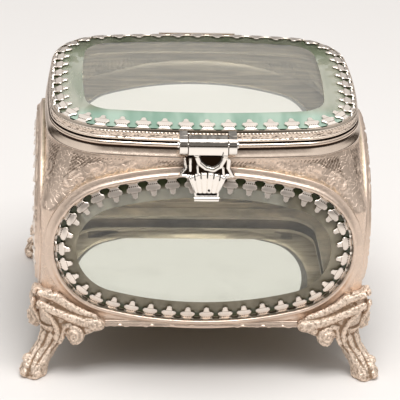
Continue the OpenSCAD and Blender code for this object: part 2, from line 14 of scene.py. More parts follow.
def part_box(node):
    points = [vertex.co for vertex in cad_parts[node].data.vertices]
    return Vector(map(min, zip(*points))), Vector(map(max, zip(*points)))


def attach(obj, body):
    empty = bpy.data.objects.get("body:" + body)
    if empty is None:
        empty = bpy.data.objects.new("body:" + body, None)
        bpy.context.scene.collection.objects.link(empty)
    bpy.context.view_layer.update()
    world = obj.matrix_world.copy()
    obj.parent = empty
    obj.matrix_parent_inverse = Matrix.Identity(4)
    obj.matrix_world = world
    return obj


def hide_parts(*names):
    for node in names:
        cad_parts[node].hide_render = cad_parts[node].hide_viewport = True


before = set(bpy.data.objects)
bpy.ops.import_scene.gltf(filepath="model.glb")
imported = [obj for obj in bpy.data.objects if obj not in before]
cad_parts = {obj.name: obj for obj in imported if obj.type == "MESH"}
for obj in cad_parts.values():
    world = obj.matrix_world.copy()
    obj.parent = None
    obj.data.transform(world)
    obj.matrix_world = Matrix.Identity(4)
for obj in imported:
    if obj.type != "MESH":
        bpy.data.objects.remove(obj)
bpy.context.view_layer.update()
mm = 0.001

# %% [markdown]
# ## Sizes
# Nothing here sets the size of the casket. Heights and widths are read from the boxes of the
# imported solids, and only what a box can't tell, such as the radius of a round end, is a value
# of its own. Lengths are metres, so a size in millimetres is written times mm.

# %% Sizes read from the solids
wall_low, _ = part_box("front_panel")
_, side_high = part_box("right_panel")
collar_low, collar_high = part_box("collar")
lid_low, lid_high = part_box("lid_frame")
lid_glass_low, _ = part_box("lid_glass")
front_glass_low, front_glass_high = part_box("front_glass")
_, side_glass_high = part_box("right_glass")

front_mould_out, side_mould_out = 1.5 * mm, 2.4 * mm
half_w = side_high.x - side_mould_out
half_d = -wall_low.y - front_mould_out
wall_out = [half_d, half_w] * 2
foot_z = wall_low.z
top_z = collar_low.z
shoulder_z = top_z - 18 * mm
sheet_t = 0.98 * mm
seat_gap = 0.1 * mm
strip_t = 0.6 * mm
glass_in = 2 * seat_gap + strip_t
window_half = [front_glass_high.x + glass_in, side_glass_high.y + glass_in]
window_z = (front_glass_low.z + front_glass_high.z) / 2
window_half_h = (front_glass_high.z - front_glass_low.z) / 2 + glass_in
window_end_r = 21.5 * mm
lid_a = lid_high.x - 0.3 * mm
lid_b = lid_high.y - 0.3 * mm
print("window", [round(w / mm, 1) for w in window_half], round(window_half_h / mm, 1))

# %% [markdown]
# ## Outlines
# Every oval and every rounded rectangle on this box is a chain of arcs that meet without a
# kink. An arc keeps its centre when the outline grows, so an offset outline is exact, and each
# point has one outward direction. A quarter is enough, because the rest mirrors it.

# %% Outlines made of arcs
def oval(a, b, r):
    """A four-arc oval with half sizes a and b and round ends of radius r."""
    big = ((a - r) ** 2 + b * b - r * r) / (2 * (b - r))
    turn = math.atan2(big - b, a - r)
    return [((a - r, 0.0), r, 0.0, turn), ((0.0, b - big), big, turn, math.pi / 2)]


def bowed(a, b, bow_a, bow_b, r):
    """A rectangle whose sides bow out, with round corners."""
    ra = (a * a + bow_a * bow_a) / (2 * bow_a)
    rb = (b * b + bow_b * bow_b) / (2 * bow_b)
    ca, cb = Vector((0, b - ra)), Vector((a - rb, 0))
    d = (cb - ca).length
    e = ((ra - r) ** 2 - (rb - r) ** 2 + d * d) / (2 * d)
    h = math.sqrt((ra - r) ** 2 - e * e)
    u = (cb - ca) / d
    c = ca + u * e + Vector((u.y, -u.x)) * h
    low = math.atan2(c.y - cb.y, c.x - cb.x)
    high = math.atan2(c.y - ca.y, c.x - ca.x)
    return [(tuple(cb), rb, 0.0, low), (tuple(c), r, low, high), (tuple(ca), ra, high, math.pi / 2)]


def arc_length(arcs):
    return sum(r * (b - a) for _, r, a, b in arcs)


def along(arcs, s):
    """Point and outward direction after a length s of the quarter that starts at the side."""
    for i, (c, r, a, b) in enumerate(arcs):
        if i == len(arcs) - 1 or s <= r * (b - a):
            f = a + s / r
            n = Vector((math.cos(f), math.sin(f)))
            return Vector((c[0] + r * n.x, c[1] + r * n.y)), n
        s -= r * (b - a)


def around(arcs, share):
    """Point and outward direction after a share of the whole turn, anticlockwise from +X."""
    quarter = arc_length(arcs)
    turn, rest = divmod(share % 1.0 * 4, 1)
    p, n = along(arcs, (rest if turn % 2 == 0 else 1 - rest) * quarter)
    flip = Vector((-1 if turn in (1, 2) else 1, -1 if turn in (2, 3) else 1))
    return p * flip, n * flip


lid_arcs = bowed(lid_a, lid_b, 4.8 * mm, 3.2 * mm, 19.4 * mm)
window_arcs = [oval(window_half[k % 2], window_half_h, window_end_r) for k in range(4)]
print("turn of the lid:", round(4 * arc_length(lid_arcs) / mm, 1), "mm")

# %% [markdown]
# ## Skins
# Most parts here are sheets: a moulding is a profile swept round an outline, a wall is a
# rectangle bent round a corner. A grid operator makes a flat sheet with its UV map, and each of
# its points is then moved to its place. The seam is merged afterwards, and the UV map keeps
# real lengths, so that patterns can follow the metal.

# %% Helpers that make meshes
def skin(columns, rows, place, size=(1, 1), closed_u=False, closed_v=False):
    """A grid whose point at (u, v), both from 0 to 1, is moved to place(u, v)."""
    bm = bmesh.new()
    uv = bm.loops.layers.uv.new("UVMap")
    bmesh.ops.create_grid(bm, x_segments=columns, y_segments=rows, size=1, calc_uvs=True)
    for face in bm.faces:
        for loop in face.loops:
            loop[uv].uv = ((loop.vert.co.x + 1) / 2 * size[0], (loop.vert.co.y + 1) / 2 * size[1])
    for v in bm.verts:
        v.co = place((v.co.x + 1) / 2, (v.co.y + 1) / 2)
    if closed_u or closed_v:
        bmesh.ops.remove_doubles(bm, verts=bm.verts, dist=1e-7)
    return bm


def face_out(bm):
    bmesh.ops.recalc_face_normals(bm, faces=bm.faces)


def spot(place):
    """A point as a key, which finds the same point in a mesh again."""
    return tuple(round(c, 6) for c in place)


def paint(bm, tones):
    """Writes a tone to each point as its relief. Tones are found by place."""
    layer = bm.verts.layers.float.new("relief")
    for v in bm.verts:
        v[layer] = tones.get(spot(v.co), 1.0)


def raised(base, points):
    """Profile points from (out, up) in millimetres, with up counted from a base height."""
    return [(x * mm, base + y * mm) for x, y in points]


def clamp(x, low=0.0, high=1.0):
    return min(max(x, low), high)


def boxed(place, low, high):
    """The nearest place inside a box."""
    return Vector(map(clamp, place, low, high))


def sized(middle, size):
    """Matrix that gives a unit shape a size and a middle."""
    return Matrix.Translation(middle) @ Matrix.Diagonal((*size, 1))


def rounded(profile, levels=2):
    """Cuts the corners of a closed profile, so that a stamped edge isn't sharp."""
    for _ in range(levels):
        pairs = [(Vector(a), Vector(b)) for a, b in zip(profile, profile[1:] + profile[:1])]
        profile = [tuple(a.lerp(b, share)) for a, b in pairs for share in (0.25, 0.75)]
    return profile


def sweep(arcs, profile, columns, inside, worked=None):
    """A closed profile of (outwards, up) points swept round an outline. inside(outwards, up)
    gives the number of a face's material, and worked(length, outwards, up) the height and
    the tone of each point of an ornamented moulding."""
    line = profile + profile[:1]
    length = sum(math.dist(a, b) for a, b in zip(line, line[1:]))
    turn = 4 * arc_length(arcs)
    tones = {}

    def place(u, v):
        p, n = around(arcs, u)
        out, up = line[round(v * (len(line) - 1))]
        height, tone = worked(u * turn, out, up) if worked else (0.0, 1.0)
        q = Vector((p.x + n.x * (out + height), p.y + n.y * (out + height), up))
        tones[spot(q)] = tone
        return q

    bm = skin(columns, len(line) - 1, place, (turn, length), True, True)
    if worked:
        paint(bm, tones)
    face_out(bm)
    uv = bm.loops.layers.uv.active
    for face in bm.faces:
        v = sum(loop[uv].uv.y for loop in face.loops) / 4 / length
        i = min(int(v * (len(line) - 1)), len(line) - 2)
        a, b = line[i], line[i + 1]
        face.material_index = int(inside((a[0] + b[0]) / 2, (a[1] + b[1]) / 2))
    return bm


def as_object(bm, name):
    mesh = bpy.data.meshes.new(name)
    bm.to_mesh(mesh)
    bm.free()
    made = bpy.data.objects.new(name, mesh)
    bpy.context.scene.collection.objects.link(made)
    return made


def finish(bm, name, body, slot, materials, *nodes, smooth=True):
    """Turns a bmesh into a piece that rides on a body and stands for some of its nodes."""
    piece = as_object(bm, name)
    if smooth:
        piece.data.shade_smooth()
    for material in materials:
        piece.data.materials.append(material)
    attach(piece, body)
    if nodes:
        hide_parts(*nodes)
    print(name, len(piece.data.polygons), "faces")
    return piece


def sharpen(piece, angle=40):
    """Keeps edges sharper than an angle, in degrees, crisp under smooth shading."""
    piece.data.set_sharp_from_angle(angle=math.radians(angle))
    return piece


def on_wall(k):
    """Matrix that stands a piece drawn flat, face up, on wall k: front, right, back or left."""
    out = Matrix.Translation((0, -wall_out[k], window_z))
    return Matrix.Rotation(math.pi / 2 * k, 4, "Z") @ out @ Matrix.Rotation(math.pi / 2, 4, "X")


def solid_mesh(node):
    """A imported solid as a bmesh, with its points joined and without its UV map."""
    bm = bmesh.new()
    bm.from_mesh(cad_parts[node].data)
    for layer in bm.loops.layers.uv[:]:
        bm.loops.layers.uv.remove(layer)
    bmesh.ops.remove_doubles(bm, verts=bm.verts, dist=1e-7)
    return bm


def add(bm, other):
    """Adds a second bmesh to the first one."""
    mesh = bpy.data.meshes.new("spare")
    other.to_mesh(mesh)
    other.free()
    bm.from_mesh(mesh)
    bpy.data.meshes.remove(mesh)


wall_names = ["front", "right", "back", "left"]

# %% [markdown]
# ## Shader maths
# A material is a small program of nodes. This class wraps one socket, so that ordinary Python
# expressions such as `1 - mask * 0.4` add the Math nodes themselves.

# %% A socket that can be calculated with
class Wire:
    """The output of a node in a tree of nodes."""

    def __init__(self, tree, socket):
        self.tree = tree
        self.socket = socket

    def ramp(self, *stops):
        """A colour ramp with (place, colour) stops."""
        return self.tree.node("ShaderNodeValToRGB", {"stops": stops}, self)

    def between(self, low, high):
        """0 below low, 1 above high and smooth in between."""
        return self.tree.node("ShaderNodeMapRange", {"interpolation_type": "SMOOTHSTEP"},
                              self, low, high, 0.0, 1.0)


def operator(operation, swapped=False):
    """A method that adds one Math node for a wire and the other value."""
    def method(self, *other):
        values = (*other, self) if swapped else (self, *other)
        return self.tree.node("ShaderNodeMath", {"operation": operation}, *values)
    return method


Wire.__add__ = Wire.__radd__ = operator("ADD")
Wire.__mul__ = Wire.__rmul__ = operator("MULTIPLY")
Wire.__sub__ = operator("SUBTRACT")
Wire.__rsub__ = operator("SUBTRACT", swapped=True)
Wire.__abs__ = operator("ABSOLUTE")


class Finish:
    """A material under construction, with one method that adds any node."""

    def __init__(self, name):
        self.material = bpy.data.materials.new(name)
        self.material.use_nodes = True
        self.nodes = self.material.node_tree.nodes
        self.links = self.material.node_tree.links
        self.shader = self.nodes["Principled BSDF"]

    def node(self, kind, settings, *values, out=0, **named):
        made = self.nodes.new(kind)
        for key, value in settings.items():
            if key == "stops":
                ramp = made.color_ramp.elements
                while len(ramp) < len(value):
                    ramp.new(0.5)
                for element, (place, colour) in zip(ramp, value):
                    element.position = place
                    element.color = (*colour, 1)
            else:
                setattr(made, key, value)
        for key, value in [*enumerate(values), *named.items()]:
            target = made.inputs[key if isinstance(key, int) else key.replace("_", " ")]
            self.put(target, value)
        return Wire(self, made.outputs[out])

    def put(self, target, value):
        if isinstance(value, Wire):
            self.links.new(value.socket, target)
        else:
            target.default_value = value

    def set(self, **values):
        """Sets inputs of the shader, as the last step, and gives the finished material."""
        for key, value in values.items():
            self.put(self.shader.inputs[key.replace("_", " ")], value)
        return self.material

    def mix(self, mask, a, b):
        """Colour a where the mask is 0 and colour b where it is 1."""
        made = self.nodes.new("ShaderNodeMix")
        made.data_type = "RGBA"
        for socket, value in zip((made.inputs[0], made.inputs[6], made.inputs[7]), (mask, a, b)):
            self.put(socket, (*value, 1) if isinstance(value, tuple) else value)
        return Wire(self, made.outputs[2])

    def place(self, kind="Object"):
        return self.node("ShaderNodeTexCoord", {}, out=kind)

    def noise(self, place, scale, detail=3.0, rough=0.55):
        return self.node("ShaderNodeTexNoise", {}, Vector=place, Scale=scale, Detail=detail,
                         Roughness=rough)

    def vector(self, operation, *values, **named):
        return self.node("ShaderNodeVectorMath", {"operation": operation}, *values, **named)

    def stretched(self, place, scale):
        return self.vector("MULTIPLY", place, scale)

    def warped(self, place, scale, reach):
        """The place, shaken by a noise, so that straight patterns turn into curls."""
        shake = self.node("ShaderNodeTexNoise", {}, out="Color", Vector=place, Scale=scale,
                          Detail=1.0)
        middle = self.vector("SUBTRACT", shake, (0.5, 0.5, 0.5))
        return self.vector("ADD", place, self.vector("SCALE", middle, Scale=reach * 2))

    def part(self, place, axis):
        """One coordinate of a place: 0 for x, 1 for y and 2 for z."""
        return self.node("ShaderNodeSeparateXYZ", {}, place, out=axis)

    def bump(self, height, strength, depth=0.1 * mm):
        return self.node("ShaderNodeBump", {}, Strength=strength, Distance=depth, Height=height,
                         out="Normal")

    def painted(self, name):
        return self.node("ShaderNodeAttribute", {"attribute_name": name}, out="Fac")


class World(Finish):
    """The same for the surroundings."""

    def __init__(self, name):
        world = bpy.data.worlds.new(name)
        bpy.context.scene.world = world
        world.use_nodes = True
        self.nodes, self.links = world.node_tree.nodes, world.node_tree.links

    def along(self, place, direction):
        return self.vector("DOT_PRODUCT", place, direction, out="Value")

    def set(self, colour):
        self.put(self.nodes["Background"].inputs["Color"], colour)


# %% [markdown]
# ## Finishes
# The metal is taken to be plated brass, as in the record, aged to a rosy champagne colour. On
# the real box the recesses of the stamping hold a dark patina, and what stands out has been
# rubbed bright. So the worked metals mix three tones by the height of their relief, and these
# tones also hold painted shade in the recesses and painted highlight on what stands out. The
# relief itself is in the mesh; only grain finer than a pixel or two is left to the bump.

# %% The aged plating
plate_dark = (0.30, 0.22, 0.16)


def plating(name, light, dark, rough=0.3, grain=0.35, relief=False, engraved=0.0, streaks=0.0,
            dots=False, mottle=0.0, depth=0.1, grain_scale=900):
    """Plated metal. Relief darkens what lies low, as patina and painted shade, and brightens what
    stands out, as wear and painted highlight. Engraving adds fine curled scratches, streaks are
    the marks of rolling, and mottle is dirt in the grain."""
    f = Finish(name)
    place = f.place()
    cloud = f.noise(place, 90).between(0.35, 0.7)
    colour = f.mix(cloud, light, tuple(x * 0.86 for x in light))
    if streaks:
        lines = f.noise(f.stretched(place, (60, 60, 900)), 1.0, 4.0, 0.65).between(0.3, 0.72)
        colour = f.mix(lines * streaks, colour, dark)
    # Painted shade with patina where the relief lies low, and painted highlight with wear on its
    # tops
    if relief:
        height = f.painted("relief")
        colour = f.mix(height.between(0.09, 0.46), dark, colour)
        rubbed_and_highlight = tuple(x * 0.97 / max(light) for x in light)
        colour = f.mix(height.between(0.6, 0.95), colour, rubbed_and_highlight)
    # Painted shade in the punched dots and along the crease near the root of a tab
    if dots:
        along_tab, across = (f.part(f.place("UV"), axis) for axis in (0, 1))
        row = f.node("ShaderNodeMath", {"operation": "PINGPONG"}, across - 0.5, dot_pitch / 2)
        from_dot = along_tab - dot_place
        far = from_dot * from_dot + row * row
        colour = f.mix(far.between(0.015 ** 2, 0.024 ** 2), dark, colour)
        crease_shade = abs(along_tab - crease_place)
        colour = f.mix(crease_shade.between(0.004, 0.014), (0.42, 0.34, 0.28), colour)
    fine = f.noise(place, grain_scale, 2.0)
    bumps = fine
    if mottle:
        colour = f.mix((1 - fine.between(0.36, 0.52)) * mottle, colour, dark)
    if engraved:
        curl = f.noise(f.warped(place, 320, 1.4 * mm), 560, 1.0)
        line = 1 - abs(curl - 0.5).between(0.004, 0.03)
        colour = f.mix(line * engraved, colour, tuple(min(1, x * 1.25) for x in light))
        bumps = fine * 0.4 + line
    return f.set(Base_Color=colour, Metallic=1.0, Roughness=rough + fine * 0.16,
                 Normal=f.bump(bumps, grain, depth * mm))


# A row of punched dots and a crease near the root of a tab, both painted dark as shade, on its
# UV map of 10 mm to the unit
dot_place, dot_pitch, crease_place = 0.41, 0.06, 0.205
stamped = plating("stamped_metal", (0.78, 0.63, 0.52), (0.15, 0.10, 0.065), 0.36, 0.6, True, 0.75)
polished = plating("polished_moulding", (0.78, 0.64, 0.53), plate_dark, 0.13, 0.12)
# Near black: painted shade in the grooves of the collar and the lid's rim
groove_shade = plating("groove_shade_metal", (0.05, 0.03, 0.02), plate_dark, 0.5, 0.2)
chased = plating("chased_rim", (0.84, 0.71, 0.60), (0.17, 0.11, 0.07), 0.16, 0.3, True)
satin_rosy = plating("moulding_metal", (0.80, 0.65, 0.54), plate_dark, 0.36, 0.3, engraved=0.3)
satin = plating("gallery_strip", (0.92, 0.83, 0.75), (0.12, 0.08, 0.05), 0.3, 0.35,
                dots=True)
cast = plating("cast_metal", (0.83, 0.70, 0.59), (0.40, 0.28, 0.19), 0.5, 1.0, True,
               mottle=0.6, depth=0.5, grain_scale=1300)
dull = plating("inner_metal", (0.73, 0.64, 0.50), (0.22, 0.19, 0.145), 0.5, 0.3, streaks=0.62)
bright = plating("bright_plating", (0.90, 0.84, 0.77), plate_dark, 0.05, 0.05)


# %% [markdown]
# ## Glass and mirror
# The flat of a pane is plain glass with a pale tint. Its bevel shows little but the seat behind
# it and the green of old plate glass, where the light runs through much of it, so it is drawn
# with a colour of its own that covers most of it: the seat and the glow of that light are
# painted in. The mirror has yellowed a little.

# %% Glass and mirror
def pane(name, colour, wave):
    f = Finish(name)
    ripple = f.noise(f.place(), 40, 1.0)
    return f.set(Base_Color=(*colour, 1), Transmission_Weight=1.0, Roughness=0.0, IOR=1.5,
                 Normal=f.bump(ripple, wave, 0.2 * mm))


window_glass = pane("bevelled_glass", (0.98, 0.985, 0.945), 0.02)


def painted_glow_bevel():
    """The wide bevel of the lid, painted: a teal glow of light held in the glass at the front, grey
    at the sides and clear behind.
    """
    f = Finish("lid_bevel")
    place = f.place()
    y = f.part(place, 1)
    back = y.between(-lid_b + 9 * mm, -lid_b + 16 * mm)
    behind = y.between(lid_b * 0.45, lid_b - 7 * mm)
    glow = f.noise(f.stretched(place, (160, 40, 40)), 1.0, 2.0).between(0.35, 0.7)
    teal = f.mix(glow, (0.20, 0.32, 0.245), (0.36, 0.47, 0.385))
    rim = 1 - f.part(f.place("UV"), 1).between(0.56, 0.64)
    side = f.mix(glow, (0.21, 0.24, 0.155), (0.38, 0.38, 0.29))
    colour = f.mix(rim * back, f.mix(back, teal, side), (0.04, 0.045, 0.018))
    return f.set(Base_Color=colour, Roughness=0.12,
                 Alpha=0.86 - back * 0.2 - behind * 0.3 + rim * back * 0.4)


def shaded_bevel():
    """The bevel of a window. The dull seat behind it is painted in, darker above; its rim is dark
    green.
    """
    f = Finish("window_bevel")
    rim = 1 - f.part(f.place("UV"), 1).between(0.60, 0.74)
    cloud = f.noise(f.place(), 160, 2.0).between(0.35, 0.7)
    seat = f.mix(cloud, (0.20, 0.175, 0.12), (0.32, 0.285, 0.21))
    upper = f.part(f.place(), 2).between(window_z, front_glass_high.z - 8 * mm)
    seat = f.mix(upper, seat, f.mix(cloud, (0.15, 0.135, 0.10), (0.24, 0.22, 0.165)))
    return f.set(Base_Color=f.mix(rim, seat, (0.045, 0.055, 0.022)), Roughness=0.15,
                 Alpha=0.82 + rim * 0.16)


lid_bevel = painted_glow_bevel()
window_bevel = shaded_bevel()


def channel():
    """The inner flank of the lid's rim, painted black only at the front as a reflection of the dark
    room.
    """
    f = Finish("lid_channel")
    back = f.part(f.place(), 1).between(-lid_b - 1 * mm, -lid_b + 5 * mm)
    # Painted reflection: black at the front and pale elsewhere
    return f.set(Base_Color=f.mix(back, (0.05, 0.035, 0.02), (0.66, 0.57, 0.48)), Metallic=1.0,
                 Roughness=0.4)


rim_channel = channel()
glass_edge = Finish("glass_edge").set(Base_Color=(0.035, 0.05, 0.022, 1), Roughness=0.3)


def silvering():
    """The silver of the mirror, a little hazy and yellow with age."""
    f = Finish("mirror_glass")
    haze = f.noise(f.place(), 60).between(0.45, 0.75)
    return f.set(Base_Color=f.mix(haze, (0.83, 0.82, 0.775), (0.78, 0.77, 0.72)), Metallic=1.0,
                 Roughness=0.02 + haze * 0.05)


mirror = silvering()

# %% [markdown]
# ## Wall panels
# Each wall is stamped from thin sheet: a flat lower part, shoulders that lean in to the round
# corners of the collar, and worked ornament in the four corners round the window. It is made of
# pointed leaves, curls and a cross-hatched ground, all worked out as a height and pressed into
# a fine grid. Opposite walls share the same stamp, so each height is worked out once.

# %% Ornament as a height
def swirl(x, z, cx, cz, radius, arms, twist, turn=0.0):
    """A rosette of curled leaves, 1 at the ridges and 0 outside its radius."""
    dx, dz = x - cx, z - cz
    r = math.hypot(dx, dz) / radius
    if r >= 1:
        return 0.0
    a = math.atan2(dz, dx) + turn
    ridge = 0.5 + 0.5 * math.cos(arms * (a - twist * math.log(r + 0.08)))
    return ridge ** 0.7 * (1 - r ** 6)


def leaf(x, z, root_x, root_z, turn, length, width):
    """A pointed leaf with a groove along its middle and side veins."""
    c, s = math.cos(math.radians(turn)), math.sin(math.radians(turn))
    dx, dz = x - root_x, z - root_z
    t, side = (dx * c + dz * s) / length, (dz * c - dx * s)
    if not 0 < t < 1:
        return 0.0
    half = width * math.sin(math.pi * t ** 0.75) + 1e-6
    w = abs(side) / half
    if w >= 1:
        return 0.0
    veins = 0.72 + 0.28 * math.cos(2 * math.pi * (t * length / 1.3 - abs(side) * 0.5))
    return math.sqrt(1 - w * w) * veins * min(1.0, 0.35 + abs(side) / 0.45)


# Across from the middle of a wall of half width 50 mm, down from its top, turn, length, width
leaves = [(17, 3.6, 178, 7.5, 1.1), (23, 4.2, 160, 7.0, 1.3), (24, 5.0, 8, 8.5, 1.6),
          (31, 4.0, 150, 6.0, 1.2), (33, 7.6, 75, 6.0, 1.7), (34, 7.4, 30, 7.0, 1.5),
          (35, 8.0, -20, 7.0, 1.6), (39, 12.5, 60, 7.5, 1.8), (40, 13, 10, 6.5, 1.3),
          (41, 14, -45, 7.0, 1.7), (45, 20, 95, 6.5, 1.4), (45.5, 21, -85, 7.5, 1.4),
          (46, 33, 80, 5.5, 1.1), (46, 34, -95, 6.5, 1.2), (45, 40, -60, 5.5, 1.4),
          (43, 44, -20, 6.0, 1.4), (42, 45, -60, 6.0, 1.4), (27, 2.6, -15, 7.0, 1.2),
          (20, 5.6, 20, 6.0, 1.0), (36, 3.2, -8, 6.5, 1.3), (42, 5.4, -70, 7.0, 1.3),
          (37, 10.5, 110, 6.0, 1.2), (43, 16, 150, 5.5, 1.1), (47, 25, -100, 6.0, 1.0)]
curls = [(29.0, 5.4, 2.7, 3, 1.5), (37.5, 5.0, 2.9, 3, -1.5), (44.5, 9.0, 3.3, 4, 1.5),
         (45.6, 26.5, 2.5, 3, 1.4), (38.5, 46.5, 2.8, 3, -1.4)]
hatch_pitch = 1.2
plain_level = 0.45


def ornament(x, z, width, high):
    """Height from 0 to 1 at x across and z up, on a wall of half width and top height."""
    x, down = abs(x) / mm, (high - z) / mm
    x += 50 - width / mm
    h = 0.0
    for root, level, turn, length, wide in leaves:
        if math.hypot(x - root, down - level) < length + 1:
            h = max(h, leaf(x, -down, root, -level, turn, length, wide))
    for cx, level, radius, arms, twist in curls:
        if math.hypot(x - cx, down - level) < radius:
            h = max(h, swirl(x, -down, cx, -level, radius, arms, twist))
    if h < 0.12 and 12 < x < 47 and 1.2 < down < 0.22 * x + 1.5:
        grid = (math.sin(math.pi * (x + down) / hatch_pitch)
                * math.sin(math.pi * (x - down) / hatch_pitch))
        h = 0.12 + 0.42 * abs(grid)
    elif h < 0.12:
        h = plain_level
    return h


# %% Shape of a wall
def wall_arcs(t):
    """Outline of the body, from the foot of the shoulders at 0 to the collar at 1."""
    def mix(a, b):
        return a + (b - a) * t
    return bowed(mix(half_w, collar_high.x - 0.6 * mm), mix(half_d, collar_high.y - 0.6 * mm),
                 mix(0.6 * mm, 4.8 * mm), mix(0.6 * mm, 3.2 * mm), mix(4 * mm, 20.2 * mm))


relief_h = 0.55 * mm
wall_levels = 132
level_arcs = [wall_arcs(max(0.0, (foot_z + (top_z - foot_z) * i / wall_levels - shoulder_z))
                        / (top_z - shoulder_z)) for i in range(wall_levels + 1)]


def split_of(arcs):
    """Length of the side part of a quarter, from +X to the middle of the corner."""
    (_, rb, a0, low), (_, r, _, high), _ = arcs
    return rb * (low - a0) + r * (math.pi / 4 - low)


level_splits = [split_of(arcs) for arcs in level_arcs]
level_quarters = [arc_length(arcs) for arcs in level_arcs]


def wall_place(k, u, v):
    """Point on wall k, its outward direction, and its place across the wall and up."""
    i = round(v * wall_levels)
    arcs, split, quarter = level_arcs[i], level_splits[i], level_quarters[i]
    s = 2 * u - 1
    end = math.copysign(1, s)
    if k % 2 == 0:
        span, flip = quarter - split, Vector((end, -1))
        p, n = along(arcs, quarter - abs(s) * span)
    else:
        span, flip = split, Vector((1, end))
        p, n = along(arcs, abs(s) * span)
    if k >= 2:
        flip = -flip
    z = foot_z + (top_z - foot_z) * v
    return Vector((*(p * flip), z)), Vector((*(n * flip), 0)), s * span, z


# %% [markdown]
# The window is left out of the grid where the raised moulding will cover its edge. The sheet is
# then given its thickness inwards, as in the real stamping, whose back shows the hollow side.

# %% Make the panels
opening_grow = 1.76 * mm


def inside_window(k, x, z, grow):
    """Whether a place on wall k lies in its window's outline, grown by a distance."""
    a, b, r = window_half[k % 2] + grow, window_half_h + grow, window_end_r + grow
    (c0, r0, _, turn), (c1, r1, _, _) = oval(a, b, r)
    x, z = abs(x), abs(z - window_z)
    end = math.hypot(x - c0[0], z) < r0
    return math.hypot(x - c1[0], z - c1[1]) < r1 and (x < c0[0] or end)


def painted_sheen(k, x, z):
    """How much painted highlight brightens the sheet beside the upper corners of a window, from 0
    to 1.
    """
    if z < window_z + 4 * mm or not 15 < abs(x) / mm < 44 or not inside_window(k, x, z, 7.5 * mm):
        return 0.0
    return max(0.0, 0.55 + 0.5 * noise.noise(Vector((x * 260, z * 260, k)))
               + 0.5 * noise.noise(Vector((x * 1500, z * 1500, k))))


pressed = {}


def make_panel(k):
    """The sheet of wall k, with its ornament pressed in and its window cut out."""
    tones = {}

    def place(u, v):
        p, n, x, z = wall_place(k, u, v)
        stamp = (k % 2, round(x * 2e4), round(v * wall_levels))
        if stamp not in pressed:
            pressed[stamp] = ornament(x, z, wall_place(k, 1.0, v)[2], top_z)
        h = pressed[stamp]
        q = p + n * ((h - plain_level) * relief_h)
        # The tone holds the relief, and a painted highlight beside the upper corners of the window
        tones[spot(q)] = min(1.0, h + 0.5 * painted_sheen(k, x, z))
        return q

    def in_window(face):
        c = face.calc_center_median()
        return inside_window(k, c[k % 2], c.z, opening_grow)

    bm = skin([232, 184][k % 2], wall_levels, place)
    bmesh.ops.delete(bm, geom=[f for f in bm.faces if in_window(f)], context="FACES")
    paint(bm, tones)
    face_out(bm)
    if sum(math.copysign(1, f.normal.dot(f.calc_center_median())) for f in bm.faces) < 0:
        bmesh.ops.reverse_faces(bm, faces=bm.faces)
    bmesh.ops.solidify(bm, geom=bm.faces[:], thickness=sheet_t)
    bm.normal_update()
    out = Matrix.Rotation(math.pi / 2 * k, 3, "Z") @ Vector((0, -1, 0))
    for face in bm.faces:
        face.material_index = 0 if face.normal.dot(out) > 0.1 else 1
    return bm


skirt_end = 20.6 * mm
crest_out = [1.15, 1.6] * 2
tab_up = [0.35 * mm, 1.0 * mm] * 2


def skirt(k):
    """The strip along the lower edge of a wall, whose lower edge is wavy."""
    run = wall_out[k - 1] - skirt_end
    profile = [(-0.9, 2.2), (0.1, 2.5), (0.45, 2.3), (0.6, 1.7), (0.6, 1.1), (0.85, 0.7),
               (0.85, 0.25), (0.5, 0.05), (-0.9, 0.1), (-0.9, 2.2)]

    def place(u, v):
        x = (2 * u - 1) * run
        y, z = profile[round(v * (len(profile) - 1))]
        wave = 0.5 + 0.5 * math.sin(x / mm * 1.55) * math.cos(x / mm * 0.43 + 1)
        z += 0.75 * wave * max(0.0, 1 - z / 1.2)
        return Vector((x, -wall_out[k] - y * mm, foot_z + z * mm))

    bm = skin(150, len(profile) - 1, place, (2 * run, 8 * mm), False, True)
    bmesh.ops.holes_fill(bm, edges=[e for e in bm.edges if e.is_boundary], sides=0)
    face_out(bm)
    bm.transform(Matrix.Rotation(math.pi / 2 * k, 4, "Z"))
    return bm


def window_moulding(k):
    """A narrow crest next to the glass, a hollow slope out to the wall, and the seat behind.
    The side crests are chipped, and the back window has a ledge along the foot of its seat."""
    crest = crest_out[k]
    profile = [(-5, -3.2), (1.2, -3.2), (3.2, -1.4), (3.2, 0.06), (2.7, 0.1 * crest),
               (2.0, 0.26 * crest), (1.5, 0.5 * crest), (1.15, 0.86 * crest), (0.8, crest),
               (0.45, crest), (0.1, 0.8 * crest), (0, 0.4 * crest), (0, -0.6), (0, -2.1),
               (-2.5, -2.1), (-5, -2.1)]
    bm = sweep(window_arcs[k], rounded(raised(0, profile)), [150, 320][k % 2],
               lambda x, y: y < -0.5 * mm or x < 0.02 * mm)
    for v in bm.verts:
        if k % 2 and v.co.z > 0.5 * crest * mm:
            chip = noise.noise(Vector((v.co.x, v.co.y, 0)) * 620) * 1.6
            v.co.z -= 0.5 * crest * mm * clamp(chip)
    if k == 2:
        ledge = sized((0, 5.4 * mm - window_half_h, -2.7 * mm), (70 * mm, 4.2 * mm, 1.0 * mm))
        bmesh.ops.create_cube(bm, size=1, matrix=ledge)
        for face in bm.faces[-6:]:
            face.material_index = 1
    bm.transform(on_wall(k))
    return bm


for k, name in enumerate(wall_names):
    sharpen(finish(skirt(k), f"{name}_skirt", "casket", "stamped_metal", [satin_rosy]), 50)
    panel = make_panel(k)
    sharpen(finish(panel, f"{name}_wall", "casket", "stamped_metal", [stamped, dull],
                   f"{name}_panel"), 60)
    finish(window_moulding(k), f"{name}_window_moulding", "casket", "stamped_metal",
           [satin_rosy, dull])

# %% [markdown]
# ## Gallery strip
# The glass is held by gallery strip, a ribbon with a row of little tabs that are bent down over
# the bevel. One tab is drawn once as an outline of arcs, given its thickness and a bevel, bent
# with a function, and copied round the outline.

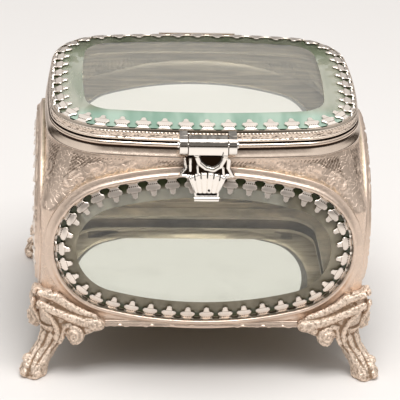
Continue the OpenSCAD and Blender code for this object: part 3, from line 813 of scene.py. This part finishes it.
# %% One tab
def tab_outline(root_w, neck, arm_x, arm_y, arm_r, tip_x, tip_r, steps=4):
    """Outline of a tab that points along -X: a flared root, two round arms and a round tip."""
    points = [(0.3, -root_w), (0.3, root_w), (-0.35, neck + 0.1)]

    def arc(cx, cy, r, a, b):
        for i in range(steps + 1):
            t = math.radians(a + (b - a) * i / steps)
            points.append((cx + r * math.cos(t), cy + r * math.sin(t)))

    arc(arm_x, arm_y, arm_r, 10, 205)
    arc(tip_x, 0, tip_r, 68, 292)
    arc(arm_x, -arm_y, arm_r, 155, 350)
    return raised(0, points + [(-0.35, -neck - 0.1)])


def make_tab(points, thick, slope, lift):
    """The tab rises from the strip, turns over and follows the slope of the bevel."""
    bm = bmesh.new()
    uv = bm.loops.layers.uv.new("UVMap")
    face = bm.faces.new([bm.verts.new((x, y, 0)) for x, y in points])
    if face.normal.z < 0:
        face.normal_flip()
    for v in bmesh.ops.extrude_face_region(bm, geom=[face])["geom"]:
        if isinstance(v, bmesh.types.BMVert):
            v.co.z += thick
    face_out(bm)
    upper = [e for e in bm.edges if all(v.co.z > thick / 2 for v in e.verts)]
    bmesh.ops.bevel(bm, geom=upper, offset=thick * 0.4, affect="EDGES", segments=1, profile=0.5,
                    material=-1)
    for f in bm.faces:
        for loop in f.loops:
            loop[uv].uv = (loop.vert.co.x / mm * 0.1 + 0.5, loop.vert.co.y / mm * 0.1 + 0.5)
    bmesh.ops.triangulate(bm, faces=[f for f in bm.faces if len(f.verts) > 8])
    for v in bm.verts:
        x = -v.co.x
        v.co.z += lift * (1 - math.exp(-x / (0.5 * mm))) + x * slope if x > 0 else x * 0.8
    return bm


def make_strip(arcs, count, low, high, tab, scallop, columns_per_tab=8):
    """The ribbon and its tabs. Between two tabs the ribbon is cut out in a scallop."""
    outer, inner = -seat_gap, -seat_gap - strip_t
    foot = high - scallop

    def place(u, v):
        p, n = around(arcs, u)
        away = abs((u * count) % 1.0 - 0.5) * 2
        edge = foot + scallop * math.sqrt(1 - min(1.0, away / 0.62) ** 4)
        ring = [(outer, low), (outer, edge), (inner, edge), (inner, low), (outer, low)]
        out, up = ring[round(v * 4)]
        return Vector((*(p + n * out), up))

    size = (4 * arc_length(arcs), 4 * strip_t)
    bm = skin(count * columns_per_tab, 4, place, size, True, True)
    face_out(bm)
    for i in range(count):
        p, n = around(arcs, (i + 0.5) / count)
        piece = tab.copy()
        at = p + n * (-seat_gap - strip_t / 2)
        piece.transform(Matrix.Translation((at.x, at.y, high - 0.3 * mm))
                        @ Matrix.Rotation(math.atan2(n.y, n.x), 4, "Z"))
        add(bm, piece)
    return bm


# %% Strips round the windows and the lid
wall_pitch, lid_pitch = 6 * mm, 6.5 * mm
tab_t, tab_lift = 0.4 * mm, 0.25 * mm
glass_t, edge_t, bevel_w = 3.1 * mm, 1.6 * mm, 6 * mm
seat_low = -2.0 * mm
wall_tab = make_tab(tab_outline(2.3, 1.15, -2.0, 1.45, 0.85, -3.9, 0.85), tab_t,
                    (glass_t - edge_t) / bevel_w, tab_lift)
for k, name in enumerate(wall_names):
    count = round(4 * arc_length(window_arcs[k]) / wall_pitch)
    strip = make_strip(window_arcs[k], count, seat_low, seat_low + edge_t + 0.3 * mm + tab_up[k],
                       wall_tab, 1.5 * mm)
    strip.transform(on_wall(k))
    sharpen(finish(strip, f"{name}_gallery_strip", "casket", "gallery_strip", [satin],
                   f"{name}_bezel"))

rim_top_w = 0.55 * mm
seat_arcs = [(c, r - rim_top_w, a, b) for c, r, a, b in lid_arcs]
lid_seat = lid_glass_low.z
lid_glass_t, lid_edge_t, lid_bevel_w = 3.4 * mm, 1.9 * mm, 9 * mm
lid_count = round(4 * arc_length(seat_arcs) / lid_pitch)
lid_tab = make_tab(tab_outline(2.4, 1.3, -2.3, 1.75, 0.7, -4.0, 0.9), tab_t,
                   (lid_glass_t - lid_edge_t) / lid_bevel_w, tab_lift)
lid_strip = make_strip(seat_arcs, lid_count, lid_seat, lid_seat + lid_edge_t + 0.35 * mm, lid_tab,
                       1.9 * mm)
sharpen(finish(lid_strip, "lid_gallery_strip", "lid", "gallery_strip", [satin], "lid_bezel"))

# %% [markdown]
# ## Collar and lid frame
# The collar is a swept moulding: a bead at the top, a groove under it that is painted dark as
# shade, a deep cove and a flare that meets the walls. The lid frame has a band of worked leaves
# between a thin lip and a rope line, and a channel between the rope and the gallery strip, which
# is painted black at the front as a reflection of the dark room. Its grooves are painted dark as
# shade too. Leaves and rope repeat along the length of the sweep.

# %% Collar and lid frame
collar_top = collar_high.z
collar_profile = raised(top_z, [(-3, 0), (1.4, 0), (1.4, 0.4), (1.1, 0.8), (0.7, 1.3), (0.3, 1.9)])
collar_profile += raised(collar_top, [(0.05, -2.3), (-0.1, -1.8), (0.0, -1.5), (0.45, -1.3),
                                      (0.8, -1.0), (0.8, -0.5), (0.5, -0.1), (0.2, 0), (-0.5, 0),
                                      (-3, 0)])
# The band under the bead is the groove painted dark as shade, and the inside is dull metal
collar = sweep(lid_arcs, rounded(collar_profile), 260,
               lambda x, z: 2 if x < -0.7 * mm else x < 0.42 * mm and z > collar_top - 2.2 * mm)
finish(collar, "collar_moulding", "casket", "polished_moulding", [polished, groove_shade, dull],
       "collar")

lid_z = lid_low.z
rim_top = lid_high.z - 0.5 * mm
rim_profile = raised(lid_z, [(-2, 0), (-0.7, 0), (-0.1, 0), (0.3, 0.35), (0.3, 0.75), (0.02, 1.0),
                             (0, 1.3), (0, 1.65), (0, 2.0), (0, 2.3)])
rim_profile += raised(rim_top, [(0, -2.0), (0.1, -1.75), (0.12, -1.55), (0.1, -1.35),
                                (-0.1, -1.15), (-0.25, -0.9), (-0.3, -0.5), (-0.5, -0.3)])
rim_profile += raised(lid_z, [(-0.55, 1.7), (-5.4, 1.7), (-5.4, 0.9), (-2, 0.9)])
band_low, band_high = lid_z + 1.0 * mm, rim_top - 2.0 * mm
rope_z = rim_top - 1.55 * mm
leaf_pitch, rope_pitch = 4.6, 1.15


def rim_work(length, out, z):
    """Leaves and a twist on the rope. Their tone is low in the hollows, for patina and painted
    shade.
    """
    along_mm = length / mm
    if out < -0.2 * mm:
        return 0.0, 1.0
    if abs(z - rope_z) < 0.3 * mm:
        twist = math.sin(2 * math.pi * (along_mm / rope_pitch + (z - rope_z) / (1.0 * mm)))
        return 0.06 * mm * twist, 0.55 + 0.45 * twist
    if not band_low < z < band_high:
        return 0.0, 1.0
    middle = (z - (band_low + band_high) / 2) / (band_high - band_low) * 2
    drift = noise.noise(Vector((along_mm * 0.35, 0, 0)))
    phase = along_mm / leaf_pitch + drift * 0.5
    stem = max(0.0, 1 - abs(middle - math.sin(2 * math.pi * phase) * 0.6) / 0.35)
    vein = noise.noise(Vector((along_mm * 1.1, middle * 1.2 + drift * 3, 4)))
    h = max(stem, 1 - min(1.0, abs(vein) / 0.16))
    return (h - 0.5) * 0.2 * mm, 0.25 + 0.75 * h


def rim_material(x, z):
    """The seat, then the inner flank, then the grooves painted dark as shade, and else the chased
    metal.
    """
    if x < -1.2 * mm:
        return 3
    if x < 0.06 * mm and z > rim_top - 1.22 * mm:
        return 2
    return x < -0.5 * mm or (x < 0.15 * mm and z < lid_z + 0.2 * mm)


rim = sweep(lid_arcs, rounded(rim_profile, 1), 1100, rim_material, rim_work)
finish(rim, "lid_rim", "lid", "polished_moulding", [chased, groove_shade, rim_channel, dull],
       "lid_frame")


# %% [markdown]
# ## Panes and floor
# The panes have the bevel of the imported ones, but are made again with more steps round the
# oval, because glass shows every facet. The lid's pane reaches a little further out.

# %% Panes
def make_pane(arcs, edge, low, edge_thick, thick, bevel, columns):
    """A slab with a bevelled upper edge. Its bevel has the second material and its edge the
    third, and both flats are closed with one face."""
    profile = [(edge, low), (edge, low + edge_thick), (edge - bevel, low + thick)]

    def place(u, v):
        p, n = around(arcs, u)
        out, up = profile[round(v * 2)]
        return Vector((*(p + n * out), up))

    bm = skin(columns, 2, place, (1, 1), True)
    for face in bm.faces:
        face.material_index = 1 if face.calc_center_median().z > low + edge_thick else 2
    for up in (low, low + thick):
        rim = [e for e in bm.edges if e.is_boundary and
               all(abs(v.co.z - up) < 1e-6 for v in e.verts)]
        for face in bmesh.ops.contextual_create(bm, geom=rim)["faces"]:
            face.material_index = 0
    face_out(bm)
    return bm


for k, name in enumerate(wall_names):
    glass = make_pane(window_arcs[k], -glass_in, seat_low, edge_t, glass_t, bevel_w, 160)
    glass.transform(on_wall(k))
    finish(glass, f"{name}_pane", "casket", "bevelled_glass",
           [window_glass, window_bevel, glass_edge], f"{name}_glass", smooth=False)
lid_pane = make_pane(lid_arcs, -rim_top_w - glass_in, lid_seat, lid_edge_t, lid_glass_t,
                     lid_bevel_w, 200)
finish(lid_pane, "lid_pane", "lid", "bevelled_glass", [window_glass, lid_bevel, glass_edge],
       "lid_glass", smooth=False)

# %% Silver layer of the mirror
# The mirror is silvered on its back, so it reflects from a little under its upper face. The
# layer is drawn where the eye sees it through the glass.
mirror_low, mirror_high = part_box("floor_mirror")
layer_size = mirror_high - mirror_low - Vector((0, 0, 1.6 * mm))
bm = bmesh.new()
bmesh.ops.create_cube(bm, size=1, matrix=sized((0, 0, mirror_low.z + layer_size.z / 2), layer_size))
upright = [e for e in bm.edges if abs(e.verts[0].co.z - e.verts[1].co.z) > 1e-6]
bmesh.ops.bevel(bm, geom=upright, offset=1.2 * mm, offset_type="OFFSET", segments=4, profile=0.5,
                affect="EDGES", material=-1)
finish(bm, "silver_layer", "casket", "mirror_glass", [mirror], "floor_mirror", smooth=False)

# %% [markdown]
# ## Paw feet
# The feet are castings: a leaf that wraps the corner, with a hollow flute along its upper edge,
# a rib, a rolled lobe and a beaded spine, over a furry leg that ends in toes. Such a soft shape
# is built as one builds it in clay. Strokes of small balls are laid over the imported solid, one
# voxel remesh melts them together, and the points are then pushed in and out by a few functions.

# %% Clay strokes for the front left foot
corner = Vector((-half_w, -half_d, 0))
sole = corner + Vector((-1.8, -0.4, 0)) * mm


def front(a, z, out=0.0):
    """A place on the front wing: a along the wall from the corner, z up, out from the wall."""
    return corner + Vector((a * mm, -out * mm, z * mm))


def side(a, z, out=0.0):
    """The same place on the side wing."""
    return corner + Vector((-out * mm, a * mm, z * mm))


def stroke(bm, points, radii, stretch=(1, 1, 1), step=0.45):
    """Balls along a chain of points, close enough to melt into one rope."""
    for (p, q), (r, s) in zip(zip(points, points[1:]), zip(radii, radii[1:])):
        count = max(1, int((q - p).length / (step * min(r, s) * mm)))
        for i in range(count + 1):
            t = i / count
            ball(bm, p.lerp(q, t), r + (s - r) * t, stretch)


def ball(bm, place, radius, stretch=(1, 1, 1)):
    size = Vector(stretch) * radius * mm
    bmesh.ops.create_icosphere(bm, subdivisions=2, radius=1, matrix=sized(place, size))


lobe_a, lobe_z, lobe_r = 10.7, 14.9, 3.9


def wing(bm, at):
    """Ornament of one wing of the leaf, laid by a place function."""
    flat = (1, 0.7, 1) if at is front else (0.7, 1, 1)
    long = (1.45, 0.8, 1) if at is front else (0.8, 1.45, 1)
    rim = [(0.4, 29.4), (4.6, 28.0), (8.6, 25.4), (12.8, 23.0), (17.2, 21.2)]
    stroke(bm, [at(a, z, 1.5) for a, z in rim], [1.2, 1.35, 1.3, 1.2, 1.0], flat)
    rib = [(0.2, 26.0), (4.6, 23.2), (9.0, 21.0), (13.5, 19.6), (16.8, 19.0)]
    stroke(bm, [at(a, z, 1.9) for a, z in rib], [1.2, 1.35, 1.5, 1.7, 1.9], flat)
    ball(bm, at(17.3, 18.6, 1.7), 2.1, long)
    ball(bm, at(lobe_a, lobe_z, 1.6), lobe_r, (1, 0.62, 1) if at is front else (0.62, 1, 1))
    ball(bm, at(15.2, 17.2, 1.4), 1.9, flat)
    neck = [(9.4, 18.2), (6.6, 17.4), (4.9, 14.8), (3.6, 11.5)]
    stroke(bm, [at(a, z, 1.9) for a, z in neck], [0.8, 0.9, 0.95, 0.8], flat)
    fold = [(1.6, 24.0), (3.2, 20.4), (3.4, 16.4), (2.4, 12.6)]
    stroke(bm, [at(a, z, 2.0) for a, z in fold], [0.7, 0.85, 0.9, 0.8], flat)


def paw(bm):
    """The toes, the knuckle and the tufts of the leg."""
    for dx, dy, r in ((-2.5, -1.7, 2.1), (1.2, -2.6, 1.95), (-2.3, 2.0, 1.9), (1.6, 1.2, 1.8)):
        ball(bm, sole + Vector((dx, dy, 1.9)) * mm, r, (1, 1, 0.95))
        ball(bm, sole + Vector((dx * 0.8, dy * 0.8, 3.9)) * mm, r * 0.9)
    ball(bm, sole + Vector((-3.3, -0.5, 5.8)) * mm, 1.3)
    for i in range(9):
        turn = math.radians(i * 40 + 12)
        ring = Vector((math.cos(turn), math.sin(turn), 0))
        low = sole + (ring * 3.1 + Vector((0.1, 0.0, 3.6))) * mm
        mid = sole + (ring * 2.9 + Vector((1.2, 0.9, 7.6))) * mm
        high = sole + (ring * 3.3 + Vector((3.4, 2.2, 13.4))) * mm
        stroke(bm, [low, mid, high], [1.0, 0.85, 0.9])


def lean(bm):
    """Bends the leg and the corner above it inwards, and draws the paw together."""
    for v in bm.verts:
        z = v.co.z / mm
        a = max(v.co.x - corner.x, v.co.y - corner.y) / mm
        near = 1 - clamp((a - 5) / 6)
        knee = clamp((z - 2.5) / 8) * clamp((22.5 - z) / 8) * near
        narrow = 0.08 * clamp((7 - z) / 5)
        v.co.x += 2.9 * mm * knee - (v.co.x - sole.x) * narrow
        v.co.y += 1.8 * mm * knee - (v.co.y - sole.y) * narrow


# %% Melt, smooth and texture a foot
def melted(bm, voxel):
    """Joins overlapping closed shapes into one skin with a voxel remesh."""
    clay = as_object(bm, "clay")
    mesh = clay.data
    remesh = clay.modifiers.new("melt", "REMESH")
    remesh.mode = "VOXEL"
    remesh.voxel_size = voxel
    result = bpy.data.meshes.new_from_object(clay.evaluated_get(
        bpy.context.evaluated_depsgraph_get()))
    bm = bmesh.new()
    bm.from_mesh(result)
    bpy.data.objects.remove(clay)
    bpy.data.meshes.remove(mesh)
    bpy.data.meshes.remove(result)
    return bm


leg_way = Vector((-7, -4, -13.5)).normalized()


def fur(p):
    """Tufts that run down the leg."""
    q = p / mm
    down = q.dot(leg_way)
    q = (q - leg_way * down) * 1.25 + leg_way * down * 0.3
    return noise.noise(q) + 0.5 * noise.noise(q * 2.2)


def stipple(p):
    return noise.noise(p * 2100) + 0.6 * noise.noise(p * 3700)


def spiral(p):
    """Rolled lines on the lobe of a wing."""
    a = (p.x - corner.x if p.y < corner.y else p.y - corner.y) / mm - lobe_a
    r = math.hypot(a, p.z / mm - lobe_z)
    if r > lobe_r:
        return 0.0
    turn = math.atan2(p.z / mm - lobe_z, a) / (2 * math.pi)
    return math.cos(2 * math.pi * (r / 1.4 - turn)) * min(1.0, (lobe_r - r) / 0.6)


def toe_gap(p):
    """1 in the notch between the two front toes."""
    x, y, z = (p.x - corner.x) / mm + 2.0, (p.y - corner.y) / mm + 0.4, p.z / mm
    turn = abs(math.atan2(y, x) + 1.78)
    return math.exp(-(turn / 0.2) ** 2) * max(0.0, 1 - z / 5)


def make_foot():
    """The front left foot. Its tone is dark in hollows, as patina and painted shade, and light on
    what stands out, as wear and painted highlight.
    """
    bm = solid_mesh("foot_front_left")
    wing(bm, front)
    wing(bm, side)
    paw(bm)
    lean(bm)
    bm = melted(bm, 0.3 * mm)
    for _ in range(3):
        bmesh.ops.smooth_vert(bm, verts=bm.verts, factor=0.5, use_axis_x=True, use_axis_y=True,
                              use_axis_z=True)
    bm.normal_update()
    layer = bm.verts.layers.float.new("relief")
    low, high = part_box("foot_front_left")
    moves = []
    for v in bm.verts:
        z = v.co.z / mm
        middle = sum((e.other_vert(v).co for e in v.link_edges), Vector()) / len(v.link_edges)
        hollow = (middle - v.co).dot(v.normal) / (0.012 * mm)
        inner = v.co.x > corner.x - 0.3 * mm and v.co.y > corner.y - 0.3 * mm and z > 17
        h = 0.0 if inner else (0.30 * fur(v.co) * clamp((17 - z) / 4) + 0.18 * stipple(v.co)
                               + 0.22 * spiral(v.co) - 0.9 * toe_gap(v.co))
        if z < 1:
            h *= z
        # The tone: painted shade with patina in hollows, painted highlight with wear on what stands
        # out
        moves.append((v, v.normal * h * mm, 0.52 - 0.4 * hollow + 1.4 * h))
    for v, move, tone in moves:
        v.co = boxed(v.co + move, low, high)
        v[layer] = clamp(tone)
    return bm


foot = make_foot()
for name, flip_x, flip_y in (("front_left", 1, 1), ("front_right", -1, 1), ("back_left", 1, -1),
                             ("back_right", -1, -1)):
    copy = foot.copy()
    copy.transform(Matrix.Diagonal((flip_x, flip_y, 1, 1)))
    if flip_x * flip_y < 0:
        bmesh.ops.reverse_faces(copy, faces=copy.faces)
    finish(copy, f"paw_{name}", "casket", "cast_metal", [cast], f"foot_{name}")
foot.free()

# %% [markdown]
# ## Clasp
# The flap is one sheet that wraps over the pin and hangs down. Its side view is a line of arcs
# and its front view a half width, and both are functions of the length along the sheet. The
# sculpted front, with a loop, two ears and a fluted shell, is a height added to that sheet.

# %% The sheet of the clasp flap
flap_low, flap_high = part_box("clasp_flap")
pin_low, pin_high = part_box("clasp_pin")
axis_y = (pin_low.y + pin_high.y) / 2
axis_z = (pin_low.z + pin_high.z) / 2
roll_r = flap_high.z - axis_z
roll_turn = math.radians(190)
flap_drop = 17.8 * mm
relief_room = 1.1 * mm


def side_view(t):
    """Side view of the front of the flap: out from the pin and up, and the outward direction."""
    turn = roll_r * roll_turn
    s = t * (turn + flap_drop)
    if s < turn:
        a = roll_turn - s / roll_r
        way = Vector((math.cos(a), math.sin(a)))
        return way * roll_r, way
    down = s - turn
    share = clamp((down - 1.6 * mm) / (1.8 * mm))
    inward = relief_room * (0.5 - 0.5 * math.cos(math.pi * share))
    return Vector((roll_r - inward, -down)), Vector((1, 0))


# Half width of the flap at distances under the pin
flap_widths = [(0, 5.9), (3.2, 5.9), (3.9, 7.0), (6.2, 6.8), (7.4, 7.5), (8.7, 8.25), (9.3, 8.25),
               (9.7, 7.2), (10.1, 5.6), (11.5, 5.1), (14.7, 3.8), (16.0, 3.6), (16.4, 3.8),
               (17.8, 3.7)]


def half_width(down):
    for (a, p), (b, q) in zip(flap_widths, flap_widths[1:]):
        if down <= b:
            return p + (q - p) * max(0, (down - a) / (b - a))
    return flap_widths[-1][1]


def near_line(x, y, points):
    """Distance from (x, y) to a chain of points."""
    best = 99.0
    for (ax, ay), (bx, by) in zip(points, points[1:]):
        dx, dy = bx - ax, by - ay
        t = clamp(((x - ax) * dx + (y - ay) * dy) / (dx * dx + dy * dy))
        best = min(best, math.hypot(x - ax - t * dx, y - ay - t * dy))
    return best


# Ridges of the front, as a chain of points (across, down), half width and height
ridges = [([(5.6, 0.4), (5.0, 3.4), (3.8, 6.0), (1.8, 7.3), (-0.6, 6.7), (-2.6, 5.0), (-3.5, 2.4)],
           0.85, 0.9),
          ([(-5.3, 4.0), (-5.2, 7.6)], 0.5, 0.7), ([(-3.1, 6.3), (-2.8, 8.8)], 0.45, 0.6),
          ([(4.6, 6.6), (4.9, 9.0)], 0.5, 0.7), ([(6.4, 3.6), (6.2, 6.4), (7.6, 9.2)], 0.7, 0.8),
          ([(-6.9, 4.0), (-6.5, 6.6), (-8.2, 9.1)], 0.28, 0.5),
          ([(-8.1, 9.1), (-5.4, 9.4)], 0.25, 0.5), ([(5.6, 9.4), (8.0, 9.1)], 0.5, 0.5)]


def sculpture(x, down):
    """Height in millimetres and tone of the front, at x across and down from the pin. A low tone
    is painted black as shade and dark reflection.
    """
    if down < 2.0:
        ridge = near_line(x, down, ridges[0][0])
        return (0.0, 0.2 if abs(ridge - 1.0) < 0.16 and x > 0 else 1.0)
    ground = min(1.0, (down - 2.0) / 0.8) if down < 8.6 + 0.12 * abs(x) else 0.0
    h, tone = -0.45 * ground, 1.0 - (ground if down > 2.7 else 0.0)
    if down > 8.0:
        width = half_width(max(down, 10.2))
        fan = x / (5.6 - 0.3 * max(0, down - 8.5))
        arch = 8.2 + 1.4 * fan * fan
        if abs(fan) < 1 and down > arch and down < 15:
            flutes = abs(math.sin(math.pi * fan * 2.75))
            edge = min(1.0, (width - abs(x)) / 0.5 + 0.2, (down - arch) / 0.5 + 0.2)
            h = (0.2 + 0.45 * flutes ** 0.5) * edge
            groove_shade = flutes < 0.3 and down < arch + 1.8
            tone = 0.15 if groove_shade else 0.72 + 0.28 * flutes ** 0.5
    for points, radius, top in ridges:
        d = near_line(x, down, points) / radius
        if d < 1:
            lift = top * math.sqrt(1 - d * d) - 0.25
            if lift > h or d < 0.75:
                h, tone = max(h, lift), 1.0
    if 14.9 < down < 16.0 and abs(x) < 3.1:
        h, tone = -0.7, 0.0
    if down > 16.4:
        h, tone = 0.6 * math.sqrt(max(0, 1 - ((down - 17.1) / 0.8) ** 2)), 1.0
    if math.hypot(x - 0.6, down - 13.9) < 0.35:
        h, tone = h - 0.4, 0.0
    return h, tone


def make_flap():
    tones = {}

    def place(u, v):
        p, n = side_view(v)
        down = -p.y / mm if v > 0.4 else -1.0
        x = (2 * u - 1) * half_width(max(down, 0))
        rise, tone = sculpture(x, down)
        p = p + n * min(rise * mm, roll_r - p.x if down > 0 else 0.0)
        q = Vector((x * mm, axis_y - p.x, axis_z + p.y))
        tones[spot(q)] = tone
        return q

    bm = skin(112, 190, place)
    paint(bm, tones)
    face_out(bm)
    if sum(f.normal.y * f.calc_area() for f in bm.faces if f.calc_center_median().z < axis_z) > 0:
        bmesh.ops.reverse_faces(bm, faces=bm.faces)
    bmesh.ops.solidify(bm, geom=bm.faces[:], thickness=0.7 * mm)
    for v in bm.verts:
        v.co = boxed(v.co, flap_low, flap_high)
    return bm


def clasp_plating(name, painted_dark_recesses):
    """Bright plating. A band over the top of the roll is painted dark grey as a reflection of the
    grey tent, and the recesses are painted black as shade and dark reflection.
    """
    f = Finish(name)
    z = f.part(f.place(), 2) - axis_z
    # Painted reflection: a dark grey band over the top of the roll
    roll_top_reflection = z.between(1.2 * mm, 2.0 * mm) * (1 - z.between(3.2 * mm, 3.5 * mm))
    cloud = f.noise(f.place(), 500, 2.0).between(0.3, 0.7)
    colour = f.mix(roll_top_reflection, (0.92, 0.87, 0.81), f.mix(cloud, (0.17, 0.15, 0.13), (0.34, 0.31, 0.28)))
    # Painted shade and dark reflection: black where the tone from the sculpture is low
    if painted_dark_recesses:
        colour = f.mix(f.painted("relief").between(0.2, 0.8), (0.012, 0.007, 0.004), colour)
    return f.set(Base_Color=colour, Metallic=1.0, Roughness=0.12)


flap_metal = clasp_plating("clasp_flap_metal", True)
roll_metal = clasp_plating("clasp_roll_metal", False)
finish(make_flap(), "clasp_flap_sheet", "clasp", "bright_plating", [flap_metal], "clasp_flap")

# %% Bracket of the clasp
# Only its two knuckles and the ears behind them are seen, as the flange lies under the strip
bracket = solid_mesh("clasp_bracket")
knuckle_top = Vector((0, 0, axis_z + roll_r + 0.02 * mm))
bmesh.ops.bisect_plane(bracket, geom=bracket.verts[:] + bracket.edges[:] + bracket.faces[:],
                       dist=1e-7, plane_co=knuckle_top, plane_no=(0, 0, 1), clear_outer=True)
bmesh.ops.holes_fill(bracket, edges=[e for e in bracket.edges if e.is_boundary])
face_out(bracket)
sharpen(finish(bracket, "clasp_knuckles", "lid", "bright_plating", [roll_metal], "clasp_bracket"))

# %% Finishes of the solids that stay
stay = {"base_plate": dull, "floor_frame": dull}
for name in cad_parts:
    if name.startswith(("hinge", "clasp")):
        stay[name] = bright
for name, material in stay.items():
    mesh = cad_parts[name].data
    mesh.materials.clear()
    mesh.materials.append(material)

# %% [markdown]
# ## Floor, light and camera
# The photograph was taken on a seamless pale table in a light tent. A pale plane, a bright and
# even world and one large lamp overhead give that light, and a painted shadow darkens the plane
# round the feet. The tent is open at the front, where the camera looks in, and polished metal
# shows that opening as its darkest tone, so the world is darker there.

# %% Table
def table_top():
    """A wide pale sheet, with a painted shadow that darkens a soft circle round the feet."""
    f = Finish("table_paper")
    far = f.vector("LENGTH", f.place(), out=1).between(0.03, 0.066)
    paper = f.set(Base_Color=f.mix(far, (0.47, 0.445, 0.425), (0.695, 0.67, 0.65)), Roughness=0.9)
    bm = bmesh.new()
    bmesh.ops.create_grid(bm, x_segments=1, y_segments=1, size=5)
    table = as_object(bm, "table")
    table.data.materials.append(paper)


table_top()


# %% Light
def tent():
    """A world that is bright from above and from behind, and dark where the camera looks in."""
    f = World("tent")
    direction = f.place("Generated")
    opening = Vector((-0.05, -0.95, 0.25)).normalized()
    front = f.along(direction, opening)
    level = f.part(direction, 2).between(0.20, 0.42) * (1 - 0.84 * front.between(0.74, 0.92))
    f.set(level.ramp((0.0, (0.05, 0.042, 0.035)), (0.5, (0.50, 0.48, 0.46)),
                     (1.0, (0.92, 0.915, 0.905))))


def lamp(name, place, aim, size, power):
    data = bpy.data.lights.new(name, "AREA")
    data.shape = "RECTANGLE"
    data.size, data.size_y = size
    data.energy = power
    made = bpy.data.objects.new(name, data)
    made.location = place
    made.rotation_euler = (Vector(aim) - Vector(place)).to_track_quat("-Z", "Y").to_euler()
    bpy.context.scene.collection.objects.link(made)


tent()
lamp("overhead", (0.05, -0.22, 0.75), (0, -0.05, 0.042), (0.5, 0.35), 5.0)


# %% Camera
photo_px, focal_px = 400, 2456.86


def photo_camera():
    """The camera fitted to the photograph, as three turns, a distance and an aim."""
    azimuth, elevation, roll = math.radians(-3.44), math.radians(26), math.radians(2.06)
    distance, target = 792.7 * mm, Vector((0.68, 0, 41.4)) * mm
    back = Vector((math.sin(azimuth) * math.cos(elevation),
                   -math.cos(azimuth) * math.cos(elevation), math.sin(elevation)))
    right = Vector((math.cos(azimuth), math.sin(azimuth), 0))
    up = right.cross(-back)
    x = math.cos(roll) * right + math.sin(roll) * up
    y = math.cos(roll) * up - math.sin(roll) * right
    data = bpy.data.cameras.new("photo")
    data.lens = data.sensor_width * focal_px / photo_px
    data.clip_start, data.clip_end = 0.05, 30
    camera = bpy.data.objects.new("photo", data)
    bpy.context.scene.collection.objects.link(camera)
    turn = Matrix((x, y, back)).transposed().to_4x4()
    camera.matrix_world = Matrix.Translation(target + back * distance) @ turn
    bpy.context.scene.camera = camera


photo_camera()
bpy.context.scene.view_settings.view_transform = "Standard"
